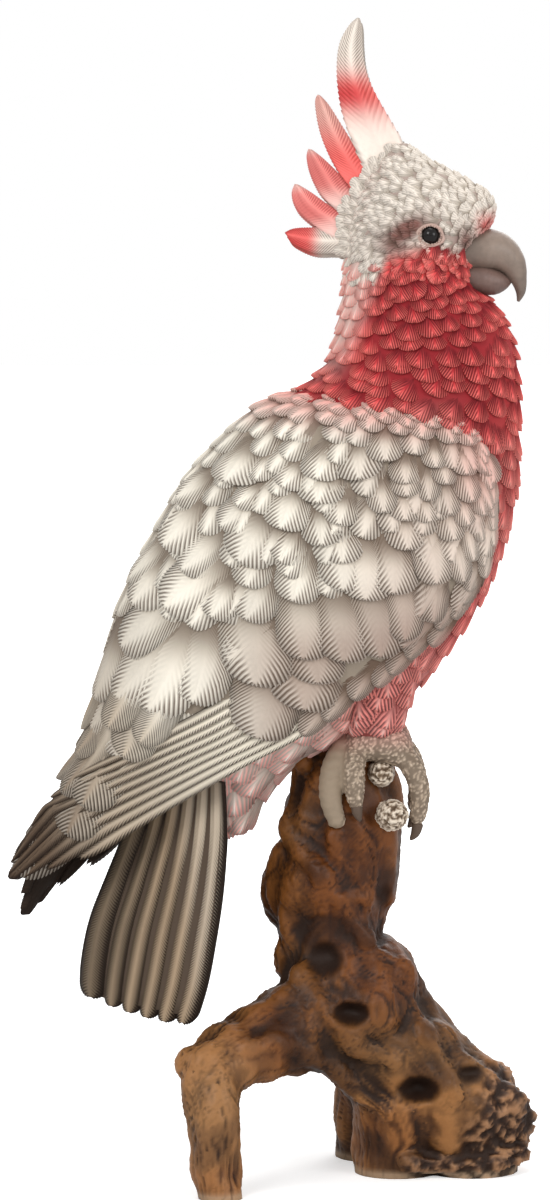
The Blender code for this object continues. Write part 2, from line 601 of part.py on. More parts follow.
def driftwood(folder):
    """Branch, roots and legs as one fused limb body with a flat underside."""
    pieces = [tube(limb, "limb_%d" % number, folder, 12, 2) for number, limb in enumerate(LIMBS)]
    pieces += [tube(ridge, "ridge_%d" % number, folder, 10, 3) for number, ridge in enumerate(RIDGES)]
    joined = bmesh.new()
    for piece in pieces:
        joined.from_mesh(piece.data)
    mesh = bpy.data.meshes.new("limbs")
    joined.to_mesh(mesh)
    joined.free()
    limbs = bpy.data.objects.new("limbs", mesh)
    folder.objects.link(limbs)
    fuse = limbs.modifiers.new("fuse", "REMESH")
    fuse.mode = "VOXEL"
    fuse.voxel_size = DRIFTWOOD_VOXEL * MM
    calm = limbs.modifiers.new("calm", "SMOOTH")
    calm.factor = 0.6
    calm.iterations = 2
    fused = evaluated(limbs, "driftwood_fused", folder)
    ridges = fused.data
    for vertex in ridges.vertices:
        x, y, z = (value / MM for value in vertex.co)
        bark = 0.9 * math.sin(x * 0.42 + 1.7 * math.sin(z * 0.05)) * math.sin(y * 0.37 + z * 0.11 + 1.0)
        knots = 1.1 * math.sin(z * 0.19 + y * 0.09 + 0.6) * math.sin(x * 0.13 - y * 0.21)
        fade = min(max((z - 1.0) / 6.0, 0.0), 1.0)
        vertex.co += vertex.normal * (bark + knots) * fade * MM
    flat = bmesh.new()
    flat.from_mesh(ridges)
    whole = flat.verts[:] + flat.edges[:] + flat.faces[:]
    bmesh.ops.bisect_plane(
        flat, geom=whole, plane_co=(0.0, 0.0, BASE_CUT * MM), plane_no=(0.0, 0.0, -1.0), clear_outer=True
    )
    border = [edge for edge in flat.edges if edge.is_boundary]
    bmesh.ops.holes_fill(flat, edges=border)
    bmesh.ops.triangulate(flat, faces=flat.faces)
    bmesh.ops.recalc_face_normals(flat, faces=flat.faces)
    flat.to_mesh(ridges)
    flat.free()
    thin = fused.modifiers.new("thin", "DECIMATE")
    thin.ratio = min(1.0, DRIFTWOOD_FACES / max(len(ridges.polygons), 1))
    thin.use_collapse_triangulate = True
    return evaluated(fused, "driftwood", folder)


def painted_material():
    material = bpy.data.materials.new("painted_resin")
    material.use_nodes = True
    shader = next(node for node in material.node_tree.nodes if node.type == "BSDF_PRINCIPLED")
    shader.inputs["Base Color"].default_value = (0.62, 0.3, 0.27, 1.0)
    shader.inputs["Roughness"].default_value = 0.55
    return material


def build():
    clear_scene()
    figure_folder = bpy.data.collections.new("cockatoo_figurine")
    tool_folder = bpy.data.collections.new("pieces")
    cutter_folder = bpy.data.collections.new("cutters")
    shape_folder = bpy.data.collections.new("shapes")
    for folder in (figure_folder, tool_folder, cutter_folder, shape_folder):
        bpy.context.scene.collection.children.link(folder)

    blank = make_object("body", breast_rings(), shape_folder)
    make_object("cape", covert_rings(), tool_folder)
    for side, word in ((-1.0, "near"), (1.0, "far")):
        for number in range(WING_BLADE_COUNT):
            low = number * WING_BLADE_WIDTH
            tip = BLADE_TIPS[min(number, len(BLADE_TIPS) - 1)]
            wing_blade(side, BLADE_START + 0.25 * number, tip, low, low + WING_BLADE_WIDTH * 1.2, False,
                       0.25 * number, "wing_blade_%s_%d" % (word, number), tool_folder)
        for number, (first, tip, low, high) in enumerate(TERTIALS):
            wing_blade(side, first, tip, low, high, True,
                       1.2 + 0.3 * number, "tertial_%s_%d" % (word, number), tool_folder)
        for number in range(TAIL_FEATHER_COUNT):
            tail_feather(side, number, "tail_%s_%d" % (word, number), tool_folder)
        for number, border in enumerate(CREST):
            offset = side * CREST_SPREAD
            drop = 0.0 if side < 0 else 1.6
            crest_feather(border, offset, drop, "crest_%s_%d" % (word, number), tool_folder)
        socket = body_point(EYE_ROW, EYE_TURN)
        depth = abs(socket[1])
        ball((socket[0], side * (depth - EYE_SINK), socket[2]), (EYE_DIAMETER / 2,) * 3, "eye_" + word, tool_folder)
        eyelid(side, (socket[0], depth - EYE_SINK / 2, socket[2]), "eyelid_" + word, tool_folder)
        leg = [(x, side * y, z, r * THIGH_WIDTH / 24.0) for x, y, z, r in THIGH]
        tube(leg, "thigh_" + word, tool_folder, 12)
        for number, line in enumerate(TOES):
            points = [(x, -side * y, z, r * TOE_THICKNESS / 7.4) for x, y, z, r in line]
            tube(points, "toe_%s_%d" % (word, number), tool_folder, 7, 1)
    tail_core(tool_folder)
    beak_solid(UPPER_BEAK, BEAK_WIDTH, "upper_beak", tool_folder)
    beak_solid(LOWER_BEAK, LOWER_BEAK_WIDTH, "lower_beak", tool_folder)
    radius = STUB_DIAMETER / 2
    tube([point + (radius,) for point in STUB], "stub", tool_folder, 10)
    ball(KNOB, KNOB_RADII, "knob", tool_folder)
    wood = driftwood(shape_folder)
    shape_folder.objects.unlink(wood)
    tool_folder.objects.link(wood)
    for number, (x, y, z, rx, ry, rz) in enumerate(HOLLOWS):
        ball((x, y, z), (rx, ry, rz), "hollow_%d" % number, cutter_folder, 6, 10)

    join = blank.modifiers.new("join", "BOOLEAN")
    join.operation = "UNION"
    join.solver = "EXACT"
    join.operand_type = "COLLECTION"
    join.collection = tool_folder
    carve = blank.modifiers.new("carve", "BOOLEAN")
    carve.operation = "DIFFERENCE"
    carve.solver = "EXACT"
    carve.operand_type = "COLLECTION"
    carve.collection = cutter_folder
    figure = evaluated(blank, "cockatoo_figurine", figure_folder)
    keep_largest(figure.data)
    shape_folder.objects.unlink(blank)
    thin = figure.modifiers.new("thin", "DECIMATE")
    thin.ratio = SURFACE_SHARE
    thin.use_collapse_triangulate = True
    figure.location = Vector((CENTRE_SHIFT[0] * MM, CENTRE_SHIFT[1] * MM, 0.0))
    figure.data.materials.append(painted_material())
    for folder in (tool_folder, cutter_folder, shape_folder):
        folder.hide_render = True
        for item in folder.objects:
            item.hide_render = True
            item.display_type = "WIRE"


build()
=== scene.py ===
import math
import bpy
import bmesh
import numpy as np
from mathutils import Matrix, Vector, noise


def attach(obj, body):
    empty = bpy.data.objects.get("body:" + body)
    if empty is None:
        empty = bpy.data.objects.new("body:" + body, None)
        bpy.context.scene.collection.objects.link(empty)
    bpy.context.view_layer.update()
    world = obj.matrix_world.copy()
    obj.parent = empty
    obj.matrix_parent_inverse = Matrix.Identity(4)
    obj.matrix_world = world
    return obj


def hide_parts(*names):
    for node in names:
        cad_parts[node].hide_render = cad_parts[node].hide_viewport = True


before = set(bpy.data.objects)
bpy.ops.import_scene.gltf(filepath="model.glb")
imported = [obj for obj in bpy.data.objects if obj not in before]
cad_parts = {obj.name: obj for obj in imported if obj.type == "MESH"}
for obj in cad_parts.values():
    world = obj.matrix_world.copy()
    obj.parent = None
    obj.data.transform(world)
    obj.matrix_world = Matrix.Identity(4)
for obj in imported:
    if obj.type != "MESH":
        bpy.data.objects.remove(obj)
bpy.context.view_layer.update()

mm = 0.001
dice = np.random.default_rng(417)
noise.seed_set(417)  # without this, noise_vector would change from run to run
figureShift = np.array([0.4, 0.0, 0.0])  # the bird's middle plane against the frame's origin

# skins of the bird, all in millimetres: back x z, front x z, half width
bodyRings = [
    (36.0, 322.0, 39.6, 322.0, 1.5), (30.7, 314.6, 46.1, 316.6, 6.8), (26.1, 307.2, 57.5, 310.6, 11.7),
    (23.1, 299.8, 66.1, 304.7, 14.5), (21.9, 292.5, 66.6, 297.6, 15.8), (21.2, 284.5, 60.8, 288.2, 16.4),
    (20.6, 276.5, 61.0, 278.3, 17.0), (19.7, 269.1, 68.3, 270.2, 18.5), (18.2, 261.1, 72.4, 262.1, 20.4),
    (15.1, 253.1, 74.6, 253.1, 22.9), (8.3, 246.3, 75.3, 243.6, 26.0), (-1.5, 239.5, 75.0, 233.3, 29.0),
    (-12.0, 229.6, 75.0, 222.8, 31.5), (-21.3, 218.8, 74.0, 211.7, 33.1), (-28.1, 205.5, 71.1, 199.9, 33.4),
    (-31.9, 190.9, 67.2, 188.1, 32.4), (-34.1, 177.0, 61.3, 176.3, 30.6), (-35.0, 162.5, 53.6, 165.1, 27.8),
    (-33.5, 149.0, 45.0, 153.9, 24.1), (-31.4, 137.0, 34.1, 143.9, 20.5), (-28.3, 127.6, 20.2, 135.8, 16.8),
    (-25.0, 119.6, 6.2, 128.6, 13.6), (-22.6, 112.6, -2.4, 119.6, 10.4), (-20.4, 106.4, -7.2, 110.7, 7.4),
    (-18.2, 101.4, -11.8, 102.8, 3.2)]

# folded wings: dorsal x z, lower edge x z, wrap angle, half width
wingRings = [
    (14.6, 246.1, 58.9, 237.8, 126.0, 25.4), (-4.4, 241.1, 63.6, 228.5, 136.0, 31.2),
    (-20.6, 226.9, 66.6, 218.3, 143.0, 34.8), (-30.4, 214.6, 66.8, 206.2, 147.0, 36.6),
    (-38.2, 200.8, 64.7, 192.8, 147.0, 37.1), (-45.1, 187.6, 57.2, 179.9, 143.0, 36.7),
    (-50.6, 174.0, 46.0, 168.5, 136.0, 35.4), (-53.8, 160.8, 29.9, 156.4, 128.0, 33.2),
    (-56.9, 148.3, 9.4, 141.4, 120.0, 30.4), (-60.0, 135.8, -10.5, 130.9, 113.0, 27.0),
    (-67.4, 122.3, -35.2, 116.6, 108.0, 22.6), (-75.5, 109.8, -57.5, 102.1, 104.0, 18.0),
    (-84.3, 95.6, -77.2, 90.4, 100.0, 14.0)]

# tail from root to tip: x z of its ridge, x z of its lower border, half width
tailRidge = [(-40.0, 131.0), (-47.0, 110.0), (-53.4, 94.0), (-58.6, 80.0), (-61.2, 66.0), (-61.4, 54.4)]
tailBorder = [(-17.4, 126.0), (-16.9, 108.0), (-18.2, 91.0), (-20.4, 76.0), (-23.0, 62.5), (-26.8, 50.2)]
tailSpread = [(15.5,), (18.0,), (20.5,), (22.5,), (24.2,), (25.0,)]

# crest feathers from front to back, from tip to foot: back x z, front x z
crestBorders = [
    [(25.0, 359.4, 25.6, 359.2), (22.4, 357.2, 26.2, 356.8), (19.4, 352.0, 26.5, 351.0), (18.4, 345.5, 27.3, 344.6),
     (18.7, 337.5, 30.0, 337.2), (20.6, 327.8, 36.2, 326.6), (26.6, 312.6, 44.0, 313.5)],
    [(12.6, 335.9, 13.4, 335.7), (11.8, 333.2, 16.4, 332.4), (12.8, 326.0, 20.9, 325.4), (15.0, 319.4, 25.6, 318.0),
     (18.6, 312.6, 29.6, 312.4), (25.0, 304.0, 34.0, 306.0)],
    [(9.8, 319.3, 10.8, 319.1), (9.2, 316.6, 14.4, 316.4), (10.2, 311.4, 19.8, 311.2), (13.0, 305.8, 23.6, 306.4),
     (19.0, 299.6, 29.0, 301.6)],
    [(5.6, 308.6, 6.6, 308.4), (4.6, 305.2, 11.0, 305.8), (6.0, 300.6, 17.0, 301.6), (11.0, 296.0, 22.8, 299.0),
     (19.0, 290.6, 28.0, 296.0)],
    [(2.4, 293.5, 3.2, 292.6), (5.6, 294.9, 5.2, 290.0), (12.0, 295.2, 11.4, 287.2), (19.0, 294.6, 18.4, 287.0),
     (27.0, 295.0, 27.0, 286.0)]]


def tone(red, green, blue):  # paint colour as the eye sees it, 0 to 255, turned into linear light
    seen = np.array([red, green, blue], dtype=float) / 255.0
    return np.where(seen <= 0.04045, seen / 12.92, ((seen + 0.055) / 1.055) ** 2.4)


paints = {
    "cream": tone(232, 225, 211), "creamShade": tone(196, 184, 166), "white": tone(232, 222, 210),
    "coral": tone(232, 108, 102), "red": tone(212, 46, 54), "deepRed": tone(152, 22, 32), "pink": tone(226, 160, 150),
    "blush": tone(236, 200, 190), "taupe": tone(150, 132, 114), "taupeDark": tone(104, 88, 74),
    "beak": tone(124, 109, 98), "feet": tone(166, 148, 128),
}


def catmull(table, where):
    rows = np.asarray(table, dtype=float)
    last = len(rows) - 1
    where = np.clip(np.asarray(where, dtype=float), 0.0, last)
    low = np.minimum(where.astype(int), last - 1)
    part = (where - low)[..., None]
    before, start = rows[np.maximum(low - 1, 0)], rows[low]
    end, after = rows[low + 1], rows[np.minimum(low + 2, last)]
    return 0.5 * (2.0 * start + (end - before) * part
                  + (2.0 * before - 5.0 * start + 4.0 * end - after) * part ** 2
                  + (3.0 * start - before - 3.0 * end + after) * part ** 3)


def along01(table, where):
    return catmull(table, np.asarray(where) * (len(table) - 1))


def smooth(low, high, value):
    part = np.clip((np.asarray(value, dtype=float) - low) / (high - low), 0.0, 1.0)
    return part * part * (3.0 - 2.0 * part)


def mix(first, second, share):
    share = np.asarray(share)[..., None]
    return np.asarray(first) * (1.0 - share) + np.asarray(second) * share


def showObject(name, data):
    made = bpy.data.objects.new(name, data)
    bpy.context.scene.collection.objects.link(made)
    return made


def writeLayer(mesh, name, values):  # a colour or a number for each point
    values = np.asarray(values, dtype=float)
    coloured = values.ndim == 2
    if coloured:
        values = np.concatenate([values, np.ones((len(values), 1))], axis=1)
    layer = mesh.attributes.new(name, "FLOAT_COLOR" if coloured else "FLOAT", "POINT")
    layer.data.foreach_set("color" if coloured else "value", values.astype(np.float32).reshape(-1))


def faceOutward(piece, weld=False):
    repair = bmesh.new()
    repair.from_mesh(piece.data)
    if weld:
        bmesh.ops.remove_doubles(repair, verts=repair.verts, dist=1e-7)
        bmesh.ops.dissolve_degenerate(repair, edges=repair.edges, dist=1e-8)
    bmesh.ops.recalc_face_normals(repair, faces=repair.faces)
    repair.to_mesh(piece.data)
    repair.free()


def bodySkin(row, turn):  # row runs from crown to vent, turn goes once round from the back
    row, turn = np.broadcast_arrays(np.asarray(row, float), np.asarray(turn, float))
    ring = catmull(bodyRings, row)
    angle = turn * 2.0 * math.pi
    share = (1.0 - np.cos(angle)) / 2.0
    return np.stack([ring[..., 0] + (ring[..., 2] - ring[..., 0]) * share, -np.sin(angle) * ring[..., 4],
                     ring[..., 1] + (ring[..., 3] - ring[..., 1]) * share], axis=-1)


wingLeadIn = np.array([-19.0, -5.0, 4.7, -9.3, 10.0, 5.8])  # how the wing skin runs on up under the neck feathers


def wingSkin(row, across):  # across is 0 on the ridge of the back and 1 or -1 at the wing's lower edges
    row, across = np.broadcast_arrays(np.asarray(row, float), np.asarray(across, float))
    ring = catmull(wingRings, row) + np.minimum(row, 0.0)[..., None] * wingLeadIn
    wrap = np.radians(ring[..., 4])
    angle = across * wrap
    share = (1.0 - np.cos(angle)) / (1.0 - np.cos(wrap))
    return np.stack([ring[..., 0] + (ring[..., 2] - ring[..., 0]) * share, -np.sin(angle) * ring[..., 5],
                     ring[..., 1] + (ring[..., 3] - ring[..., 1]) * share], axis=-1)


def slopes(skin, row, side, step=0.01):  # how a skin runs down its rows and along them, and its outward normal
    row, side = np.asarray(row, float), np.asarray(side, float)
    down = (skin(row + step, side) - skin(row - step, side)) / (2.0 * step)
    along = (skin(row, side + step) - skin(row, side - step)) / (2.0 * step)
    normal = np.cross(down, along)
    normal = normal / np.maximum(np.linalg.norm(normal, axis=-1, keepdims=True), 1e-9)
    return down, along, normal


def raised(skin, row, side, height):
    normal = slopes(skin, row, side)[2]
    return skin(row, side) + normal * np.asarray(height)[..., None]


# one carved feather, made as a flat pattern first and laid on a skin afterwards: lines are its barbs from foot to
# tip, columns the steps from shaft to rim, aspect its length over its half width
def featherPattern(lines, columns, rootWidth, shoulder, blunt, barbSlope, aspect, denseTip=0.5, serration=0.045):
    fine = np.linspace(0.0, 1.0, 400)
    past = np.clip((fine - shoulder) / (1.0 - shoulder), 0.0, 1.0)
    before = np.clip(fine / shoulder, 0.0, 1.0)
    width = (rootWidth + (1.0 - rootWidth) * np.sin(before * math.pi / 2.0)) * (1.0 - past ** blunt) ** (1.0 / blunt)
    rim = np.concatenate([[0.0], np.cumsum(np.hypot(np.diff(fine) * aspect, np.diff(width)))])
    weight = 0.35 + (1.0 - denseTip) * 0.65 + denseTip * 1.1 * smooth(0.2, 0.7, fine)
    rim = np.concatenate([[0.0], np.cumsum(np.diff(rim) * weight[1:])])
    picks = np.linspace(0.0, rim[-1] * 0.985, lines + 1)
    rimAlong = np.interp(picks, rim, fine)
    rimWidth = np.maximum(np.interp(picks, rim, width), 0.05)
    shaft = rimAlong - barbSlope * rimWidth / aspect
    for index in range(len(shaft)):
        floor = 0.004 * index if index == 0 else shaft[index - 1] + 0.003
        shaft[index] = max(shaft[index], floor)
    shaft = np.minimum(shaft, rimAlong)
    steps = np.asarray(columns, dtype=float)
    signed = np.concatenate([-steps[:0:-1], steps])
    place = np.abs(signed)
    bend = place ** 1.15
    alongGrid = shaft[:, None] + (rimAlong - shaft)[:, None] * bend[None, :]
    acrossGrid = rimWidth[:, None] * signed[None, :]
    odd = (np.arange(lines + 1) % 2)[:, None] * np.ones_like(alongGrid)
    acrossGrid = acrossGrid * (1.0 - serration * odd * smooth(0.5, 1.0, place)[None, :])
    alongGrid = np.maximum(alongGrid - serration * 0.35 * odd * smooth(0.5, 1.0, place)[None, :], 0.0)
    odd[-1] = 0.0
    count = len(signed)
    grid = np.arange((lines + 1) * count).reshape(lines + 1, count)
    skirt = np.arange(2 * (lines + 1)).reshape(lines + 1, 2) + grid.size
    quads = [np.stack([grid[:-1, :-1], grid[1:, :-1], grid[1:, 1:], grid[:-1, 1:]], axis=-1).reshape(-1, 4),
             np.stack([skirt[:-1, 0], skirt[1:, 0], grid[1:, 0], grid[:-1, 0]], axis=-1),
             np.stack([grid[:-1, -1], grid[1:, -1], skirt[1:, 1], skirt[:-1, 1]], axis=-1),
             np.stack([skirt[:-1, 1], skirt[1:, 1], skirt[1:, 0], skirt[:-1, 0]], axis=-1)]
    caps = np.array([list(grid[0]) + [skirt[0, 1], skirt[0, 0]], list(grid[-1][::-1]) + [skirt[-1, 0], skirt[-1, 1]]])
    pull = np.stack([rimAlong * 0.985, rimAlong * 0.985], axis=1).reshape(-1)
    side = np.stack([-rimWidth * 0.86, rimWidth * 0.86], axis=1).reshape(-1)
    return {
        "along": np.concatenate([alongGrid.reshape(-1), pull]),
        "across": np.concatenate([acrossGrid.reshape(-1), side]),
        "place": np.concatenate([np.tile(place, lines + 1), np.ones(side.size)]),
        "odd": np.concatenate([odd.reshape(-1), np.zeros(side.size)]),
        "under": np.concatenate([np.zeros(grid.size), np.ones(side.size)]),
        "foot": len(steps) - 1, "tip": grid.size - len(steps),
        "quads": np.concatenate(quads), "caps": caps}


def featherHeights(pattern, look):  # height of each point of a feather above its skin, and where it is grooved
    along, place, under = pattern["along"], pattern["place"], pattern["under"]
    grooveZone = smooth(look["grooveStart"], look["grooveStart"] + 0.35, place) * smooth(0.1, 0.35, along)
    height = look["root"] + (look["lift"] - look["root"]) * along ** look["curl"]
    height = height - look["camber"] * (pattern["across"] ** 2) * smooth(0.0, 0.4, along)
    height = height + look["shaft"] * (place < 1e-6) * (1.0 - smooth(0.86, 0.97, along))
    height = height - look["groove"] * pattern["odd"] * grooveZone
    edge = np.maximum(place * smooth(0.8, 1.0, place), smooth(0.93, 1.0, along))
    height = height - look["round"] * edge
    height = height - look["depth"] * under
    return height, grooveZone


def newStore():
    return {"points": [], "quads": [], "caps": [], "tone": [], "washAndShade": [], "count": 0}


def addFeather(store, pattern, points, colour, washAndShade):
    store["points"].append(points)
    store["quads"].append(pattern["quads"] + store["count"])
    store["caps"].append(pattern["caps"] + store["count"])
    store["tone"].append(colour)
    store["washAndShade"].append(washAndShade)
    store["count"] += len(points)


def meshFrom(name, points, faceGroups, colours, washAndShade):
    mesh = bpy.data.meshes.new(name)
    points = (np.asarray(points) + figureShift) * mm
    sizes = np.concatenate([np.full(len(group), group.shape[1]) for group in faceGroups])
    loops = np.concatenate([group.reshape(-1) for group in faceGroups])
    mesh.vertices.add(len(points))
    mesh.vertices.foreach_set("co", points.astype(np.float32).reshape(-1))
    mesh.loops.add(len(loops))
    mesh.loops.foreach_set("vertex_index", loops.astype(np.int32))
    mesh.polygons.add(len(sizes))
    mesh.polygons.foreach_set("loop_start", np.concatenate([[0], np.cumsum(sizes)[:-1]]).astype(np.int32))
    mesh.update(calc_edges=True)
    mesh.validate()
    writeLayer(mesh, "paint", colours)
    # this layer holds dark wash in grooves and cracks together with painted shade in recesses and under feather edges
    writeLayer(mesh, "washAndShade", washAndShade)
    mesh.shade_smooth()
    return showObject(name, mesh)


def finishStore(name, store, material):
    points = np.concatenate(store["points"])
    groups = [np.concatenate(store["quads"])]
    widths = sorted({cap.shape[1] for cap in store["caps"]})
    for width in widths:
        groups.append(np.concatenate([cap for cap in store["caps"] if cap.shape[1] == width]))
    piece = meshFrom(name, points, groups, np.concatenate(store["tone"]), np.concatenate(store["washAndShade"]))
    dress(piece, material)
    print(name, len(groups[0]) * 2, "triangles")


def dress(piece, material):
    piece.data.materials.append(material)
    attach(piece, "root")
    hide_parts("cockatoo_figurine")


# shader groups
def mathNode(nodes, operation):
    made = nodes.new("ShaderNodeMath")
    made.operation = operation
    return made


def newGroup(name, inputs, outputs):  # each row: socket name, kind and, for an input, its value
    group = bpy.data.node_groups.new(name, "ShaderNodeTree")
    for title, kind, value in inputs:
        group.interface.new_socket(name=title, in_out="INPUT", socket_type=kind).default_value = value
    for title, kind in outputs:
        group.interface.new_socket(name=title, in_out="OUTPUT", socket_type=kind)
    return group, group.nodes.new("NodeGroupInput"), group.nodes.new("NodeGroupOutput")


def buildWashAndShadeGroup():  # brown wash that was wiped off the high spots, together with painted shade in recesses and under feather edges, over a slightly uneven paint
    group, inner, outer = newGroup("wipedWashAndShade", [
        ("Paint", "NodeSocketColor", (0.8, 0.8, 0.8, 1.0)), ("Depth", "NodeSocketFloat", 0.0),
        ("Wash Colour", "NodeSocketColor", (0.07, 0.04, 0.025, 1.0)), ("Wash Strength", "NodeSocketFloat", 0.8),
        ("Uneven", "NodeSocketFloat", 0.12), ("Patch Scale", "NodeSocketFloat", 60.0)],
        [("Colour", "NodeSocketColor"), ("Depth Out", "NodeSocketFloat")])
    nodes, links = group.nodes, group.links
    place = nodes.new("ShaderNodeNewGeometry")
    patches = nodes.new("ShaderNodeTexNoise")
    patches.inputs["Detail"].default_value = 4.0
    speck = nodes.new("ShaderNodeTexNoise")
    speck.inputs["Scale"].default_value = 900.0
    speck.inputs["Detail"].default_value = 2.0
    links.new(place.outputs["Position"], patches.inputs["Vector"])
    links.new(place.outputs["Position"], speck.inputs["Vector"])
    links.new(inner.outputs["Patch Scale"], patches.inputs["Scale"])
    both = mathNode(nodes, "MULTIPLY_ADD")  # broad patches with half as much fine speck
    both.inputs[1].default_value = 0.5
    links.new(speck.outputs["Fac"], both.inputs[0])
    links.new(patches.outputs["Fac"], both.inputs[2])
    centred = mathNode(nodes, "SUBTRACT")
    centred.inputs[1].default_value = 0.75
    links.new(both.outputs[0], centred.inputs[0])
    swing = mathNode(nodes, "MULTIPLY")
    links.new(centred.outputs[0], swing.inputs[0])
    links.new(inner.outputs["Uneven"], swing.inputs[1])
    bright = mathNode(nodes, "MULTIPLY_ADD")  # makes the paint lighter or darker
    bright.inputs[1].default_value = 3.0
    bright.inputs[2].default_value = 1.0
    links.new(swing.outputs[0], bright.inputs[0])
    lit = nodes.new("ShaderNodeVectorMath")
    lit.operation = "SCALE"
    links.new(inner.outputs["Paint"], lit.inputs[0])
    links.new(bright.outputs[0], lit.inputs["Scale"])
    rough = mathNode(nodes, "MULTIPLY_ADD")  # makes the wash and the painted shade thicker or thinner
    rough.inputs[1].default_value = 2.0
    links.new(swing.outputs[0], rough.inputs[0])
    links.new(inner.outputs["Depth"], rough.inputs[2])
    share = mathNode(nodes, "MULTIPLY")
    share.use_clamp = True
    links.new(rough.outputs[0], share.inputs[0])
    links.new(inner.outputs["Wash Strength"], share.inputs[1])
    blend = nodes.new("ShaderNodeMix")
    blend.data_type = "RGBA"
    links.new(share.outputs[0], blend.inputs["Factor"])
    links.new(lit.outputs[0], blend.inputs[6])
    links.new(inner.outputs["Wash Colour"], blend.inputs[7])
    links.new(blend.outputs[2], outer.inputs["Colour"])
    links.new(share.outputs[0], outer.inputs["Depth Out"])
    return group


def buildGrainGroup():  # fine casting grain and brush marks, as a height
    group, inner, outer = newGroup("castGrain", [
        ("Fine Scale", "NodeSocketFloat", 1400.0), ("Coarse Scale", "NodeSocketFloat", 260.0),
        ("Coarse Share", "NodeSocketFloat", 0.5)], [("Height", "NodeSocketFloat")])
    nodes, links = group.nodes, group.links
    place = nodes.new("ShaderNodeNewGeometry")
    fine, coarse = nodes.new("ShaderNodeTexNoise"), nodes.new("ShaderNodeTexNoise")
    for texture, name in ((fine, "Fine Scale"), (coarse, "Coarse Scale")):
        links.new(place.outputs["Position"], texture.inputs["Vector"])
        links.new(inner.outputs[name], texture.inputs["Scale"])
        texture.inputs["Detail"].default_value = 3.0
    height = mathNode(nodes, "MULTIPLY_ADD")
    links.new(coarse.outputs["Fac"], height.inputs[0])
    links.new(inner.outputs["Coarse Share"], height.inputs[1])
    links.new(fine.outputs["Fac"], height.inputs[2])
    links.new(height.outputs[0], outer.inputs["Height"])
    return group


washAndShadeGroup = buildWashAndShadeGroup()
grainGroup = buildGrainGroup()


def paintedMaterial(name, look):
    material = bpy.data.materials.new(name)
    material.use_nodes = True
    nodes, links = material.node_tree.nodes, material.node_tree.links
    shader = nodes["Principled BSDF"]
    paint = nodes.new("ShaderNodeAttribute")
    paint.attribute_name = "paint"
    depth = nodes.new("ShaderNodeAttribute")
    depth.attribute_name = "washAndShade"
    washAndShade = nodes.new("ShaderNodeGroup")
    washAndShade.node_tree = washAndShadeGroup
    links.new(paint.outputs["Color"], washAndShade.inputs["Paint"])
    links.new(depth.outputs["Fac"], washAndShade.inputs["Depth"])
    # one brown colour serves both the wash and the painted shade
    washAndShade.inputs["Wash Colour"].default_value = tuple(look["washColour"]) + (1.0,)
    washAndShade.inputs["Wash Strength"].default_value = look["washStrength"]
    washAndShade.inputs["Uneven"].default_value = look["uneven"]
    washAndShade.inputs["Patch Scale"].default_value = look["patchScale"]
    links.new(washAndShade.outputs["Colour"], shader.inputs["Base Color"])
    grain = nodes.new("ShaderNodeGroup")
    grain.node_tree = grainGroup
    grain.inputs["Fine Scale"].default_value = look["fineScale"]
    grain.inputs["Coarse Scale"].default_value = look["coarseScale"]
    bump = nodes.new("ShaderNodeBump")
    bump.inputs["Strength"].default_value = look["bump"]
    bump.inputs["Distance"].default_value = 0.0002
    links.new(grain.outputs["Height"], bump.inputs["Height"])
    links.new(bump.outputs["Normal"], shader.inputs["Normal"])
    dull = nodes.new("ShaderNodeMapRange")
    dull.inputs["To Min"].default_value = look["roughness"]
    dull.inputs["To Max"].default_value = min(look["roughness"] + 0.2, 1.0)
    links.new(washAndShade.outputs["Depth Out"], dull.inputs["Value"])
    links.new(dull.outputs["Result"], shader.inputs["Roughness"])
    shader.inputs["Specular IOR Level"].default_value = look["specular"]
    return material


plumageLook = {"washColour": tone(76, 56, 40), "washStrength": 1.0, "uneven": 0.12, "patchScale": 55.0,
               "fineScale": 1500.0, "coarseScale": 300.0, "bump": 0.25, "roughness": 0.62, "specular": 0.3}
redLook = dict(plumageLook, washColour=tone(84, 8, 18), washStrength=0.95)
darkLook = dict(plumageLook, washColour=tone(34, 24, 17), washStrength=1.0, specular=0.2)
plumagePaint = paintedMaterial("creamPlumagePaint", plumageLook)
redPaint = paintedMaterial("redPlumagePaint", redLook)
darkPaint = paintedMaterial("taupePlumagePaint", darkLook)
beakPaint = paintedMaterial("beakPaint", dict(plumageLook, washColour=tone(96, 78, 68), washStrength=0.7, uneven=0.2,
                                               patchScale=420.0, roughness=0.45, specular=0.4, bump=0.15))
feetPaint = paintedMaterial("feetPaint", dict(plumageLook, washColour=tone(58, 44, 34), uneven=0.16, patchScale=300.0))
woodPaint = paintedMaterial("driftwoodPaint", dict(plumageLook, washColour=tone(34, 20, 12), washStrength=0.9,
                                                    uneven=0.16, patchScale=90.0, roughness=0.45, specular=0.2,
                                                    bump=0.5))


# camera in mm, and lamps: place in metres, size, power
stageLook = {"distance": 1600.0, "pitch": 5.0, "aimHeight": 180.0, "lens": 155.0, "sensor": 36.0, "fill": 0.42,
             "lamps": [("keySoftbox", (-0.9, -1.5, 1.25), 0.9, 21.0), ("fillSoftbox", (1.3, -1.2, 0.7), 0.9, 13.0),
                       ("topSoftbox", (0.1, 0.2, 1.9), 1.0, 13.0), ("backSoftbox", (0.6, 1.6, 1.0), 0.9, 8.0)]}


